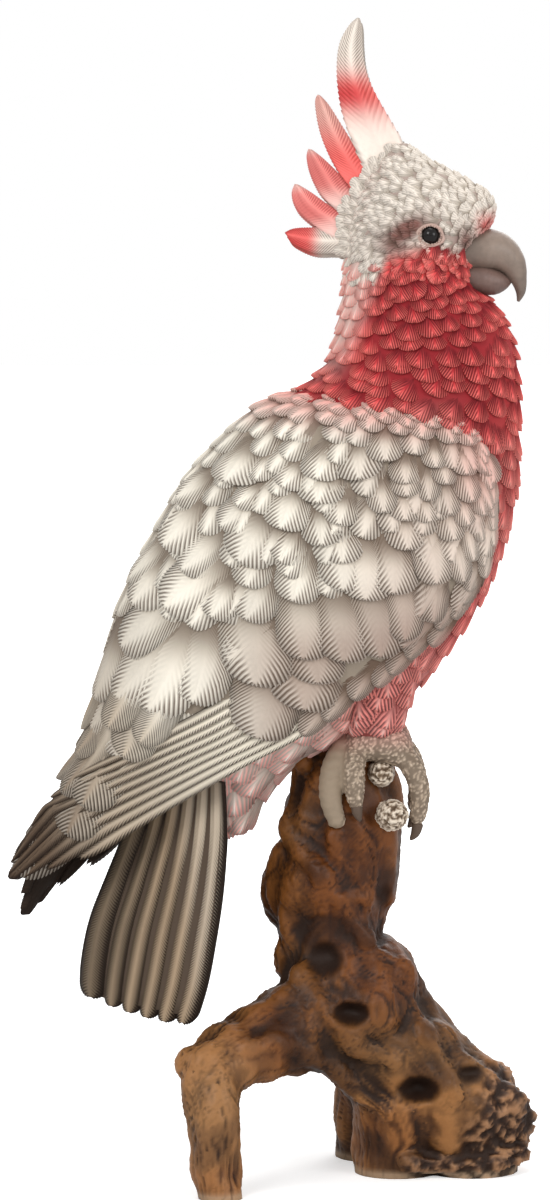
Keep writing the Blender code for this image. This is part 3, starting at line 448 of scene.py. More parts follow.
def buildStage():
    look = stageLook
    pitch = math.radians(look["pitch"])
    camera = bpy.data.cameras.new("photoCamera")
    camera.lens = look["lens"]
    camera.sensor_fit = "VERTICAL"
    camera.sensor_height = look["sensor"]
    camera.clip_start = 0.05
    holder = showObject("photoCamera", camera)
    away, above = look["distance"] * math.cos(pitch), look["distance"] * math.sin(pitch)
    holder.location = Vector((0.0, -away, look["aimHeight"] + above)) * mm
    holder.rotation_euler = (math.radians(90.0) - pitch, 0.0, 0.0)
    bpy.context.scene.camera = holder

    floorMesh = bpy.data.meshes.new("studioFloor")
    floorMesh.from_pydata([(-6, -6, 0), (6, -6, 0), (6, 6, 0), (-6, 6, 0)], [], [(0, 1, 2, 3)])
    floor = showObject("studioFloor", floorMesh)
    paper = bpy.data.materials.new("studioPaper")
    paper.use_nodes = True
    nodes, links = paper.node_tree.nodes, paper.node_tree.links
    shader = nodes["Principled BSDF"]
    shader.inputs["Base Color"].default_value = (0.86, 0.86, 0.86, 1.0)
    shader.inputs["Roughness"].default_value = 0.9
    shader.inputs["Specular IOR Level"].default_value = 0.1
    paths = nodes.new("ShaderNodeLightPath")
    place = nodes.new("ShaderNodeNewGeometry")
    reach = nodes.new("ShaderNodeVectorMath")
    reach.operation = "LENGTH"
    links.new(place.outputs["Position"], reach.inputs[0])
    far = nodes.new("ShaderNodeMapRange")
    far.inputs["From Min"].default_value = 0.12
    far.inputs["From Max"].default_value = 0.6
    far.inputs["To Min"].default_value = 0.45
    far.inputs["To Max"].default_value = 1.0
    links.new(reach.outputs["Value"], far.inputs["Value"])
    glow = mathNode(nodes, "MULTIPLY")
    links.new(paths.outputs["Is Camera Ray"], glow.inputs[0])
    links.new(far.outputs["Result"], glow.inputs[1])
    shader.inputs["Emission Color"].default_value = (1.0, 1.0, 1.0, 1.0)
    links.new(glow.outputs[0], shader.inputs["Emission Strength"])
    floorMesh.materials.append(paper)

    world = bpy.data.worlds.new("studioWorld")
    bpy.context.scene.world = world
    world.use_nodes = True
    nodes, links = world.node_tree.nodes, world.node_tree.links
    background = nodes["Background"]
    paths = nodes.new("ShaderNodeLightPath")
    strength = nodes.new("ShaderNodeMix")
    strength.data_type = "FLOAT"
    seen = mathNode(nodes, "MAXIMUM")
    links.new(paths.outputs["Is Camera Ray"], seen.inputs[0])
    links.new(paths.outputs["Is Glossy Ray"], seen.inputs[1])
    links.new(seen.outputs[0], strength.inputs[0])
    strength.inputs[2].default_value = look["fill"]
    strength.inputs[3].default_value = 1.0
    background.inputs["Color"].default_value = (1.0, 1.0, 1.0, 1.0)
    links.new(strength.outputs[0], background.inputs["Strength"])

    for name, spot, size, power in look["lamps"]:
        lamp = bpy.data.lights.new(name, "AREA")
        lamp.energy = power
        lamp.size = size
        body = showObject(name, lamp)
        body.location = spot
        aim = Vector((0.0, 0.0, look["aimHeight"] * mm)) - Vector(spot)
        body.rotation_euler = aim.to_track_quat("-Z", "Y").to_euler()
    bpy.context.scene.view_settings.view_transform = "Standard"
    print("stage ready")


# where the paint changes over the bird
def breastPaint(points, share, chance):
    x, z = points[..., 0], points[..., 2]
    rim = smooth(0.62, 1.0, share)
    deep = np.exp(-(((x - 50.0) / 17.0) ** 2 + ((z - 252.0) / 26.0) ** 2))
    paint = mix(mix(paints["deepRed"], paints["red"], smooth(0.2, 0.75, share) * (1.0 - 0.3 * deep)), paints["coral"],
                rim * (0.9 - 0.55 * deep))
    # painted light: the front of the breast, which turns away at a grazing angle, is made lighter and more coral
    paint = mix(paint, mix(paints["red"], paints["coral"], 0.3 + 0.7 * rim), smooth(60.0, 72.0, x) * 0.85)
    paint = mix(paint, paints["coral"], smooth(276.0, 290.0, z) * 0.35)
    nape = smooth(31.0, 22.0, x - 0.35 * (z - 270.0)) * smooth(244.0, 262.0, z)
    paint = mix(paint, mix(paints["blush"], paints["white"], 0.3 + 0.5 * rim), nape)
    collar = smooth(242.0, 228.0, z - 0.16 * (x - 20.0)) * smooth(62.0, 40.0, x)
    paint = mix(paint, mix(paints["pink"], paints["cream"], smooth(240.0, 226.0, z)), collar * 0.9)
    lower = smooth(232.0, 190.0, z)
    paint = mix(paint, mix(paints["coral"], paints["pink"], 0.1 + 0.7 * rim), lower * 0.75)
    paint = mix(paint, mix(paints["coral"], paints["pink"], rim), smooth(58.0, 70.0, x) * smooth(240.0, 222.0, z) * 0.8)
    belly = smooth(28.0, 10.0, x) * smooth(162.0, 146.0, z)
    paint = mix(paint, mix(tone(220, 204, 192), tone(246, 236, 226), rim), belly)
    return paint * (1.0 + 0.14 * (chance - 0.5))


def wingPaint(points, share, chance):
    x, z = points[..., 0], points[..., 2]
    paint = mix(paints["creamShade"], paints["cream"], smooth(0.3, 0.85, share) * 0.8 + 0.2)
    # painted shade: darker and warmer towards the front of the wing, and darker where its lower part curves under
    foreShade = smooth(8.0, 46.0, x)
    paint = paint * (1.0 - foreShade[..., None] * np.array([0.2, 0.28, 0.29]))
    under = smooth(190.0, 164.0, z - 0.12 * x) * smooth(-30.0, 8.0, x)
    paint = paint * (1.0 - under[..., None] * np.array([0.46, 0.54, 0.56]))
    paint = mix(paint, paints["pink"], smooth(229.0, 241.0, z + 0.1 * (x - 30.0)) * 0.8)
    paint = mix(paint, mix(paints["red"], paints["coral"], share), smooth(239.0, 248.0, z + 0.1 * (x - 30.0)) * 0.9)
    front = smooth(48.0, 64.0, x) * smooth(196.0, 226.0, z)
    paint = mix(paint, paints["pink"], front * 0.6)
    border = np.interp(x, [9.0, 30.0, 46.0, 58.0, 65.4, 67.6], [139.4, 154.0, 166.0, 177.5, 190.5, 204.0])
    beyond = smooth(2.0, -3.0, z - border) * smooth(6.0, 24.0, x)
    paint = mix(paint, mix(paints["red"], paints["pink"], 0.4 + 0.6 * share), beyond * 0.85)
    edge = smooth(-22.0, -78.0, x + 0.15 * (z - 130.0))
    paint = mix(paint, mix(paints["taupeDark"], paints["taupe"], share), edge * 0.95)
    return paint * (1.0 + 0.12 * (chance - 0.5))


# lays one feather with its tip at row and side of a skin, pointing along heading turned by lean
def layFeather(store, skin, row, side, heading, pattern, length, half, look, painter, chance, lean=0.0, tilt=0.0,
               strength=1.0):
    down, along, normal = slopes(skin, row, side)
    forward = np.asarray(heading, float) - normal * float(np.dot(heading, normal))
    forward = forward / max(np.linalg.norm(forward), 1e-9)
    sideways = np.cross(normal, forward)
    turned = forward * math.cos(lean) + sideways * math.sin(lean)
    sideways = np.cross(normal, turned)
    metric = np.array([[down @ down, down @ along], [down @ along, along @ along]]) + np.eye(2) * 1e-6
    forwardStep = np.linalg.solve(metric, [down @ turned, along @ turned])
    sideStep = np.linalg.solve(metric, [down @ sideways, along @ sideways])
    ahead, aside = (pattern["along"] - 1.0) * length, pattern["across"] * half
    rows = row + ahead * forwardStep[0] + aside * sideStep[0]
    sides = side + ahead * forwardStep[1] + aside * sideStep[1]
    height, zone = featherHeights(pattern, look)
    height = height + tilt * pattern["across"] * smooth(0.1, 0.8, pattern["along"])
    points = raised(skin, rows, sides, height)
    spine = np.linalg.norm(points[pattern["tip"]] - points[pattern["foot"]])
    if not 0.6 * length < spine < 1.4 * length:  # laid over a fold of the skin, so it would curl
        return
    colour = painter(points, np.maximum(pattern["along"], pattern["place"] * 0.8) * (1.0 - pattern["under"]), chance)
    brushed = (1.0 - pattern["odd"]) * zone * smooth(0.45, 0.95, pattern["along"]) * look["dryBrush"]
    colour = mix(colour, look["dryColour"], brushed)
    # dark wash in the barb grooves, plus painted shade at the feather's foot where the row above covers it and on its
    # underside skirt
    low, high = look["footShade"]
    washAndShade = pattern["odd"] * zone * look["grooveWash"] + (1.0 - smooth(low, high, pattern["along"])) * 0.75
    washAndShade = np.maximum(np.minimum(washAndShade, 1.0), pattern["under"] * 0.95) * strength
    addFeather(store, pattern, points, colour, washAndShade)


def insidePolygon(x, z, polygon):
    inside = False
    last = polygon[-1]
    for spot in polygon:
        if (spot[1] > z) != (last[1] > z) and x < (last[0] - spot[0]) * (z - spot[1]) / (last[1] - spot[1]) + spot[0]:
            inside = not inside
        last = spot
    return inside


coverEdge = [(row[2] - 6.0, row[3] + (2.0 if index else -5.0)) for index, row in enumerate(wingRings[:10])]
coverBack = [(row[0] - 4.0, row[1] - (0.0 if index else 5.0)) for index, row in enumerate(wingRings[:10])]
coveredByWing = coverBack + coverEdge[::-1]

# in each look: root and lift are the heights of a feather's foot and tip in mm, groove the depth between its barbs,
# the foot shade span where along it the painted shade at its foot, under the row above, fades out, and the tables give
# a size for a row of the skin
breastLook = {"root": -0.9, "lift": 1.35, "curl": 1.35, "camber": 0.5, "shaft": 0.12, "groove": 0.38,
              "grooveStart": 0.05, "round": 0.25, "depth": 1.5, "grooveWash": 1.0, "footShade": (0.4, 0.88),
              "dryColour": tone(250, 126, 116), "dryBrush": 0.75, "spacing": 1.5,
              "rowSteps": [(5.4, 3.6), (9.0, 5.0), (13.0, 6.2), (18.0, 7.0), (23.0, 7.0)],
              "halfWidths": [(5.4, 3.6), (9.0, 4.9), (13.0, 5.8), (18.0, 6.8), (23.0, 6.8)],
              "lengths": [(5.4, 8.5), (9.0, 10.5), (13.0, 13.5), (18.0, 18.0), (23.0, 20.0)]}


def pick(table, where):
    keys = [row[0] for row in table]
    values = [row[1] for row in table]
    return float(np.interp(where, keys, values))


def measureRow(skin, row, first, last, count):  # one row of a skin: its places, their share of its length, its length
    places = np.linspace(first, last, count)
    steps = np.linalg.norm(np.diff(skin(np.full(count, row), places), axis=0), axis=1)
    around = steps.sum()
    return places, np.concatenate([[0.0], np.cumsum(steps)]) / around, around


def buildBreast():
    pattern = featherPattern(lines=24, columns=[0.0, 0.14, 0.55, 1.0], rootWidth=0.78, shoulder=0.56, blunt=2.3,
                             barbSlope=2.4, aspect=1.7, denseTip=0.85)
    neck, breast, vent = newStore(), newStore(), newStore()
    row, number = 5.5, 0
    while row < 24.0:
        middle = (bodySkin(row, 0.0) + bodySkin(row, 0.5)) / 2.0
        ahead = (bodySkin(row + 0.1, 0.0) + bodySkin(row + 0.1, 0.5)) / 2.0
        perRow = np.linalg.norm(ahead - middle) * 10.0
        places, arc, around = measureRow(bodySkin, row, 0.0, 1.0, 121)
        half = pick(breastLook["halfWidths"], row)
        count = max(int(around / (half * breastLook["spacing"])), 6)
        for index in range(count):
            spot = ((index + 0.5 * (number % 2)) / count + dice.normal(0.0, 0.12) / count) % 1.0
            turn = float(np.interp(spot, arc, places))
            shifted = row + dice.normal(0.0, 0.13)
            chance, lean, tilt = dice.random(), dice.normal(0.0, 0.1), dice.normal(0.0, 0.22)
            size = 1.0 + dice.normal(0.0, 0.07)
            here = bodySkin(shifted, turn)
            if row > 9.2 and insidePolygon(here[0], here[2], coveredByWing):
                continue
            if row < 6.8 and here[0] > 59.0 and abs(here[1]) < 8.0:
                continue
            heading = slopes(bodySkin, shifted, turn)[0]
            store = neck if row < 12.0 else vent if here[0] < 20.0 and here[2] < 154.0 else breast
            layFeather(store, bodySkin, shifted, turn, heading, pattern, pick(breastLook["lengths"], row) * size,
                       half * size, breastLook, breastPaint, chance, lean, tilt,
                       1.0 - 0.75 * float(smooth(34.0, 22.0, here[0]) * smooth(243.0, 262.0, here[2]))
                       - 0.45 * float(smooth(28.0, 12.0, here[0]) * smooth(162.0, 146.0, here[2])))
        row += pick(breastLook["rowSteps"], row) / perRow
        number += 1
    finishStore("neckFeathers", neck, redPaint)
    finishStore("breastFeathers", breast, redPaint)
    finishStore("undertailFeathers", vent, plumagePaint)


# large feathers of the folded wing: tip row, tip across, turn, shaft in sight, half width
wingFeathers = [
    (1.75, 0.665, 0.27, 7.2, 5.3), (1.78, 0.800, 0.00, 4.8, 3.7), (1.80, 0.960, 0.03, 4.6, 2.6),
    (1.90, 0.890, -0.14, 5.8, 4.4), (2.18, 0.830, 0.01, 5.0, 3.8), (2.25, 0.615, 0.37, 8.7, 6.4),
    (2.25, 0.725, 0.10, 5.6, 4.5), (2.35, 0.515, 0.12, 7.2, 6.0), (2.53, 0.365, 0.24, 6.3, 4.2),
    (2.55, 0.730, 0.11, 5.9, 4.2), (2.58, 0.905, 0.11, 8.5, 4.2), (2.62, 0.440, -0.10, 6.4, 5.1),
    (2.62, 0.785, 0.03, 8.3, 3.7), (2.68, 0.280, 0.17, 10.4, 8.7), (2.75, 0.975, 0.35, 9.6, 2.4),
    (2.90, 0.535, 0.20, 7.1, 6.3), (2.90, 0.945, 0.14, 6.6, 3.0), (2.93, 0.845, 0.19, 8.8, 4.6),
    (2.98, 0.685, 0.29, 8.0, 4.2), (3.12, 0.735, 0.12, 6.8, 4.8), (3.12, 0.795, 0.33, 6.3, 4.0),
    (3.15, 0.345, -0.35, 7.5, 4.1), (3.15, 0.900, 0.29, 7.0, 3.8), (3.23, 0.120, -0.45, 12.2, 6.4),
    (3.33, 0.595, 0.10, 6.9, 4.8), (3.50, 0.865, 0.28, 7.9, 4.6), (3.50, 0.950, 0.21, 7.1, 2.6),
    (3.53, 0.475, 0.07, 11.4, 6.4), (3.62, 0.330, -0.40, 10.8, 4.8), (3.75, 0.760, 0.33, 8.1, 5.8),
    (3.80, 0.575, 0.38, 8.6, 5.5), (3.93, 0.935, 0.37, 10.5, 2.8), (4.15, 0.635, 0.51, 8.8, 5.7),
    (4.23, 0.185, -0.14, 15.3, 9.2), (4.23, 0.505, -0.02, 7.8, 4.8), (4.33, 0.420, -0.00, 14.2, 7.4),
    (4.42, 0.935, 0.60, 13.7, 3.4), (4.48, 0.865, 0.55, 17.8, 5.5), (4.53, 0.535, 0.05, 8.4, 4.4),
    (4.67, 0.290, -0.27, 15.8, 5.4), (4.75, 0.670, 0.46, 13.5, 6.6), (4.75, 0.780, 0.51, 13.5, 6.7),
    (4.85, 0.470, 0.28, 7.4, 5.3), (4.93, 0.730, 0.53, 16.5, 6.6), (5.08, 0.085, -0.38, 15.4, 5.6),
    (5.08, 0.585, 0.32, 11.9, 5.9), (5.40, 0.935, 0.54, 12.5, 4.2), (5.53, 0.300, -0.33, 22.9, 7.4),
    (5.58, 0.180, -0.04, 14.4, 8.4), (5.60, 0.520, 0.23, 12.2, 5.9), (5.62, 0.440, 0.18, 10.9, 5.4),
    (5.88, 0.910, 0.69, 18.1, 4.9), (6.33, 0.900, 0.73, 22.0, 6.4), (6.43, 0.720, 0.61, 20.2, 6.6),
    (6.45, 0.820, 0.67, 20.7, 6.9), (6.53, 0.200, -0.46, 23.2, 7.0), (6.98, 0.825, 0.79, 10.9, 6.8),
    (7.10, 0.675, 0.57, 26.3, 8.5), (7.53, 0.880, 0.63, 14.5, 8.5), (7.58, 0.555, 0.36, 25.4, 6.8),
    (7.75, 0.275, -0.24, 26.2, 7.2), (7.88, 0.130, 0.02, 20.2, 8.0), (7.90, 0.440, 0.13, 29.4, 8.0),
    (8.18, 0.855, 0.58, 17.0, 7.6), (8.60, 0.165, -0.31, 12.6, 5.6), (8.68, 0.500, 0.43, 12.0, 5.7),
    (9.10, 0.445, 0.47, 16.5, 6.6)]

coverLook = {"root": -0.9, "lift": 1.6, "curl": 1.4, "camber": 0.6, "shaft": 0.28, "groove": 0.36, "grooveStart": 0.28,
             "round": 0.3, "depth": 1.9, "grooveWash": 0.95, "footShade": (0.3, 0.68), "dryColour": tone(238, 232, 220),
             "dryBrush": 0.3, "spacing": 1.6, "edgeRows": (0.9, 8.2, 0.34), "edgeAcross": 0.985,
             "rows": [-0.66, -0.38, -0.08, 0.22, 0.55, 0.88, 1.22, 1.6, 2.0, 2.4, 2.85, 3.35, 3.9, 4.5, 5.2, 6.0, 6.9],
             "halfWidths": [(0.0, 4.3), (1.5, 5.4), (4.0, 6.0), (8.0, 6.6)],
             "lengths": [(0.0, 12.0), (1.5, 15.0), (4.0, 18.0), (6.0, 24.0), (8.0, 30.0)], "borderLead": 0.15}


def buildCoverts():
    fine = [0.0, 0.1, 0.36, 0.7, 1.0]
    small = featherPattern(lines=28, columns=fine, rootWidth=0.7, shoulder=0.58, blunt=2.4, barbSlope=1.8, aspect=1.9,
                           denseTip=0.75)
    medium = featherPattern(lines=40, columns=fine, rootWidth=0.66, shoulder=0.68, blunt=2.5, barbSlope=1.6,
                            aspect=2.8, denseTip=0.65)
    large = featherPattern(lines=56, columns=fine, rootWidth=0.7, shoulder=0.76, blunt=2.5, barbSlope=1.5, aspect=4.2,
                           denseTip=0.55)
    plain = featherPattern(lines=26, columns=[0.0, 0.3, 1.0], rootWidth=0.75, shoulder=0.6, blunt=2.4, barbSlope=1.7,
                           aspect=2.2, denseTip=0.75)
    under, mantle, coverts = newStore(), newStore(), newStore()
    for side in (-1.0, 1.0):  # the skin's near side is the one with across above zero
        placed = []
        for row, across, turn, length, half in wingFeathers:
            here = row + dice.normal(0.0, 0.05) * (side > 0)
            down, _, normal = slopes(wingSkin, here, -side * across)
            forward = down / np.linalg.norm(down)
            sideways = np.cross(normal, forward)
            lean = -side * turn
            full = length * 1.4 + 4.0
            placed.append((wingSkin(here, -side * across), forward * math.cos(lean) + sideways * math.sin(lean),
                           sideways * math.cos(lean) - forward * math.sin(lean), full, half))
            pattern = small if full < 17.0 else medium if full < 26.0 else large
            look = dict(coverLook, lift=coverLook["lift"] + dice.normal(0.15, 0.15) + 0.02 * half)
            layFeather(mantle if row < 4.3 else coverts, wingSkin, here, -side * across, down, pattern, full,
                       half * 1.26, look, wingPaint, dice.random(), lean, dice.normal(0.0, 0.3))
        for number, row in enumerate(coverLook["rows"]):
            places, arc, around = measureRow(wingSkin, row, -1.0, 1.0, 161)
            half = pick(coverLook["halfWidths"], row)
            count = max(int(around / (half * coverLook["spacing"])), 6)
            for index in range(count):
                spot = (index + 0.5 + (0.5 * (number % 2) - 0.25)) / count + dice.normal(0.0, 0.1) / count
                across = float(np.interp(spot, arc, places))
                if across * side > 0.0:
                    continue
                here = row - coverLook["borderLead"] * max(row, 0.3) * abs(across) ** 1.5 + dice.normal(0.0, 0.06)
                chance, lean, tilt = dice.random(), dice.normal(0.0, 0.08), dice.normal(0.0, 0.3)
                size = dice.normal(1.0, 0.07)
                tip = wingSkin(here, across)
                hidden = False
                for spotAt, ahead, aside, full, width in placed:
                    gap = tip - spotAt
                    hidden = hidden or (-0.6 * full < gap @ ahead < -2.5 and abs(gap @ aside) < 0.6 * width)
                if hidden or (row > 1.4 and min(np.linalg.norm(tip - spotAt) for spotAt, *_ in placed) < 1.8):
                    continue
                top = row < 1.4
                look = coverLook if top else dict(coverLook, lift=1.0, root=-0.7)
                length = pick(coverLook["lengths"], row) * size
                layFeather(mantle if top else under, wingSkin, here, across, slopes(wingSkin, here, across)[0],
                           small if top else plain, length, half * size, look, wingPaint, chance, lean, tilt)
        for row in np.arange(*coverLook["edgeRows"]):  # along the lower edge of the wing
            here = row + dice.normal(0.0, 0.05)
            across = -side * (coverLook["edgeAcross"] + dice.normal(0.0, 0.012))
            layFeather(under, wingSkin, here, across, slopes(wingSkin, here, across)[0], small, 11.0 + row * 0.9,
                       2.9 + 0.22 * row, dict(coverLook, lift=1.0, root=-0.8), wingPaint, dice.random(),
                       side * (0.1 - 0.04 * row) + dice.normal(0.0, 0.05), dice.normal(0.0, 0.2))
    finishStore("mantleFeathers", mantle, plumagePaint)
    finishStore("wingUnderFeathers", under, plumagePaint)
    finishStore("wingCoverts", coverts, plumagePaint)


def wingPoint(side, rows, shares, heights):  # the far wing tip hangs a little lower
    across = 0.16 + 0.84 * shares
    points = raised(wingSkin, rows, across * -side, heights)
    if side > 0:
        slide = np.clip((np.asarray(rows) - 9.0) / 3.0, 0.0, 1.0) ** 2
        points = points + np.stack([slide * 3.0, slide * -2.0, slide * -15.0], axis=-1)
    return points


# narrow bands at the wing's lower edge with the row where each ends, and broad inner feathers: first row, tip row,
# low and high share of the wing's width, height
bladeLook = {"root": -1.2, "lift": 1.0, "curl": 0.9, "camber": -0.3, "shaft": 0.3, "groove": 0.3, "grooveStart": 0.12,
             "round": 0.35, "depth": 2.6, "bandWidth": 4.2, "bandCount": 6,
             "bandTips": [11.1, 11.45, 11.75, 11.95, 11.9, 11.7, 11.0, 10.3, 9.8],
             "inner": [(6.2, 11.98, 0.22, 0.64, 0.9), (6.2, 11.5, 0.02, 0.34, 1.3)]}

# rounded feathers over the wing tip: tip row, tip across, turn, length, half width, height at the tip
tipFeathers = [
    (11.75, 0.520, 0.10, 46.0, 8.6, 1.9), (11.30, 0.300, 0.05, 46.0, 6.6, 2.0), (10.80, 0.640, 0.36, 50.0, 8.0, 2.6),
    (10.10, 0.300, 0.10, 46.0, 7.0, 2.9), (10.20, 0.540, 0.34, 48.0, 8.0, 3.3), (9.30, 0.180, -0.02, 36.0, 6.0, 3.2),
    (9.08, 0.490, 0.27, 38.0, 7.0, 4.0), (8.65, 0.505, 0.14, 30.0, 5.4, 4.6), (8.45, 0.330, 0.10, 32.0, 6.4, 4.2),
    (9.90, 0.060, 0.0, 36.0, 5.6, 2.6), (8.70, 0.050, 0.0, 32.0, 5.8, 2.6)]


def bandShare(rows, distance):
    ring = catmull(wingRings, rows)
    width = np.hypot(ring[..., 2] - ring[..., 0], ring[..., 3] - ring[..., 1]) * 1.12
    room = bladeLook["bandWidth"] * (bladeLook["bandCount"] + 0.8)
    return 1.0 - distance * np.minimum(1.0, width / room) / width


def bladePaint(points, share, chance):
    x, z = points[..., 0], points[..., 2]
    reach = -x - 0.25 * (z - 130.0)
    paint = mix(paints["creamShade"], tone(226, 217, 200), share)
    paint = mix(paint, mix(tone(104, 88, 72), tone(182, 166, 146), share), smooth(8.0, 54.0, reach))
    paint = mix(paint, mix(tone(50, 36, 26), tone(95, 77, 61), share), smooth(48.0, 80.0, reach))
    return paint * (1.0 + 0.14 * (chance - 0.5))


def tipPaint(points, share, chance):  # pale in the middle of each feather, taupe at its border
    light = bladePaint(points, share, chance)
    return mix(light, paints["cream"], 0.75 * smooth(1.0, 0.4, share) * smooth(60.0, 36.0, -points[..., 0]))


def buildWingBlades():
    narrow = featherPattern(lines=180, columns=[0.0, 0.16, 0.6, 1.0], rootWidth=0.9, shoulder=0.93, blunt=2.0,
                            barbSlope=0.9, aspect=22.0, denseTip=0.1, serration=0.02)
    broad = featherPattern(lines=120, columns=[0.0, 0.06, 0.36, 0.7, 1.0], rootWidth=0.7, shoulder=0.86, blunt=2.2,
                           barbSlope=1.5, aspect=7.0, denseTip=0.3, serration=0.02)
    rounded = featherPattern(lines=84, columns=[0.0, 0.08, 0.4, 0.72, 1.0], rootWidth=0.75, shoulder=0.8, blunt=2.4,
                             barbSlope=1.4, aspect=6.0, denseTip=0.5, serration=0.03)
    for side, word in ((-1.0, "near"), (1.0, "far")):
        store = newStore()
        for number, tip in enumerate(bladeLook["bandTips"]):
            low = number * bladeLook["bandWidth"]
            middle, half = low + bladeLook["bandWidth"] * 0.56, bladeLook["bandWidth"] * 0.62
            first = min(6.0 + 0.22 * number, 6.6)
            rows = first + (tip - first) * narrow["along"]
            shares = bandShare(rows, middle - half * narrow["across"])
            height, zone = featherHeights(narrow, bladeLook)
            height = height + 0.22 * min(number, 5) + 0.5 * narrow["across"] - 2.8 * smooth(0.4, 0.1, narrow["along"])
            points = wingPoint(side, rows, shares, height)
            colour = bladePaint(points, 1.0 - narrow["place"] ** 2, dice.random())
            # dark wash in the barb grooves, with painted shade on the underside skirt and along the edge where each
            # band tucks under its neighbour
            washAndShade = narrow["odd"] * zone * 0.95 + narrow["under"] * 0.9
            washAndShade = np.maximum(washAndShade, smooth(-0.5, -0.92, narrow["across"]))
            addFeather(store, narrow, points, colour, washAndShade)
        for first, tip, low, high, lift in bladeLook["inner"]:
            rows = first + (tip - first) * broad["along"]
            shares = (low + high) / 2.0 + (high - low) / 2.0 * broad["across"]
            height, zone = featherHeights(broad, dict(bladeLook, camber=0.7))
            height = height + lift * smooth(0.05, 0.45, broad["along"]) - 2.8 * smooth(0.36, 0.12, broad["along"])
            points = wingPoint(side, rows, shares, height)
            colour = bladePaint(points, 1.0 - broad["place"] ** 2, dice.random())
            pale = 0.6 * smooth(0.9, 0.3, broad["place"]) * smooth(64.0, 34.0, -points[:, 0])
            colour = mix(colour, paints["cream"], pale)
            # dark wash in the barb grooves, with painted shade on the underside skirt and along the border of each
            # broad feather
            washAndShade = broad["odd"] * zone * 0.95 + broad["under"] * 0.9 + 0.5 * smooth(0.85, 1.0, broad["place"])
            addFeather(store, broad, points, colour, washAndShade)
        for row, across, turn, length, half, high in tipFeathers:
            look = dict(coverLook, root=-1.4, lift=high, curl=1.6, depth=2.2, grooveStart=0.12, groove=0.34)
            down = slopes(wingSkin, row, -side * across)[0]
            layFeather(store, wingSkin, row, -side * across, down, rounded, length, half, look, tipPaint,
                       dice.random(), -side * turn, dice.normal(0.0, 0.2))
        finishStore("wingBlades_" + word, store, darkPaint)


def tailPoint(side, where, share, height):
    ridge, border = along01(tailRidge, where), along01(tailBorder, where)
    spread = along01(tailSpread, where)[..., 0]
    share = np.asarray(share)
    bend = np.sign(share) * np.abs(share) ** 0.85
    return np.stack([ridge[..., 0] + (border[..., 0] - ridge[..., 0]) * share - height * 0.55,
                     side * (spread * bend + height * 0.8 + 1.0),
                     ridge[..., 1] + (border[..., 1] - ridge[..., 1]) * share], axis=-1)


tailLook = {"root": -0.3, "lift": 0.3, "curl": 1.0, "camber": 1.2, "shaft": 0.35, "groove": 0.3, "grooveStart": 0.1,
            "round": 0.7, "depth": 2.4, "count": 6, "centreWidth": 1.35,
            "tips": [0.95, 0.975, 0.99, 1.0, 1.0, 0.985]}


def tailPaint(points, share, chance):
    x, z = points[..., 0], points[..., 2]
    # darker at each strip's edges: painted shade in the gaps between the strips
    paint = mix(tone(44, 31, 22), tone(156, 135, 110), share)
    paint = mix(paint, tone(182, 168, 150), smooth(-32.0, -19.0, x + 0.08 * (z - 80.0)) * 0.8)
    paint = mix(paint, paint * 0.5, smooth(-38.0, -50.0, x - 0.3 * (z - 80.0)))
    paint = mix(paint, tone(76, 60, 48), smooth(112.0, 134.0, z) * 0.7)
    return paint * (1.0 + 0.15 * (chance - 0.5))


def buildTail():
    pattern = featherPattern(lines=150, columns=[0.0, 0.1, 0.5, 1.0], rootWidth=0.95, shoulder=0.93, blunt=2.2,
                             barbSlope=1.0, aspect=18.0, denseTip=0.1, serration=0.02)
    widths = np.array([tailLook["centreWidth"]] + [1.0] * (tailLook["count"] - 1))
    edges = np.concatenate([[0.0], np.cumsum(widths)]) / widths.sum()
    store = newStore()
    for side in (-1.0, 1.0):
        for number in range(tailLook["count"]):
            middle = (edges[number] + edges[number + 1]) / 2.0
            half = (edges[number + 1] - edges[number]) / 2.0 * 1.12
            where = tailLook["tips"][number] * (0.02 + 0.98 * pattern["along"])
            height, zone = featherHeights(pattern, tailLook)
            height = height + 0.15 * (tailLook["count"] - 1 - number)
            points = tailPoint(side, where, middle + half * pattern["across"], height)
            colour = tailPaint(points, 1.0 - np.abs(pattern["across"]) ** 2, dice.random())
            # dark wash in the barb grooves, with painted shade on the underside skirt and along each strip's border
            washAndShade = pattern["odd"] * zone * 0.95 + pattern["under"] * 0.9 + smooth(0.62, 0.95, pattern["place"])
            addFeather(store, pattern, points, colour, washAndShade)
    finishStore("tailFeathers", store, darkPaint)


def crestPaint(number, along, across, chance):
    if number == 0:
        paint = mix(paints["white"], paints["coral"] * 0.88, np.exp(-((along - 0.32) / 0.13) ** 2))
        paint = mix(paint, paints["red"] * 0.8, np.exp(-((along - 0.3) / 0.08) ** 2) * 0.75 * smooth(0.9, -0.3, across))
    elif number == 1:
        paint = mix(tone(222, 172, 160), paints["coral"], smooth(0.75, 0.3, along))
        paint = mix(paint, paints["blush"], smooth(0.9, 1.0, along))
    elif number == 4:
        paint = mix(paints["white"], paints["coral"], smooth(0.38, 0.6, along))
        paint = mix(paint, paints["red"], smooth(0.5, 0.75, along) * smooth(-0.2, 0.8, np.abs(across)) * 0.4)
    else:
        paint = mix(paints["blush"], paints["coral"], smooth(1.02, 0.7, along) * smooth(0.05, 0.4, along) * 0.7)
        paint = mix(paint, paints["red"], np.exp(-((along - 0.5) / 0.2) ** 2) * 0.2)
    return paint * (1.0 + 0.1 * (chance - 0.5))


crestLook = {"root": 0.0, "lift": 0.0, "curl": 1.0, "camber": 0.6, "shaft": 0.35, "groove": 0.42, "grooveStart": 0.02,
             "round": 0.2, "depth": 1.0, "spread": 1.15, "thickness": 1.3, "farDrop": 1.4}


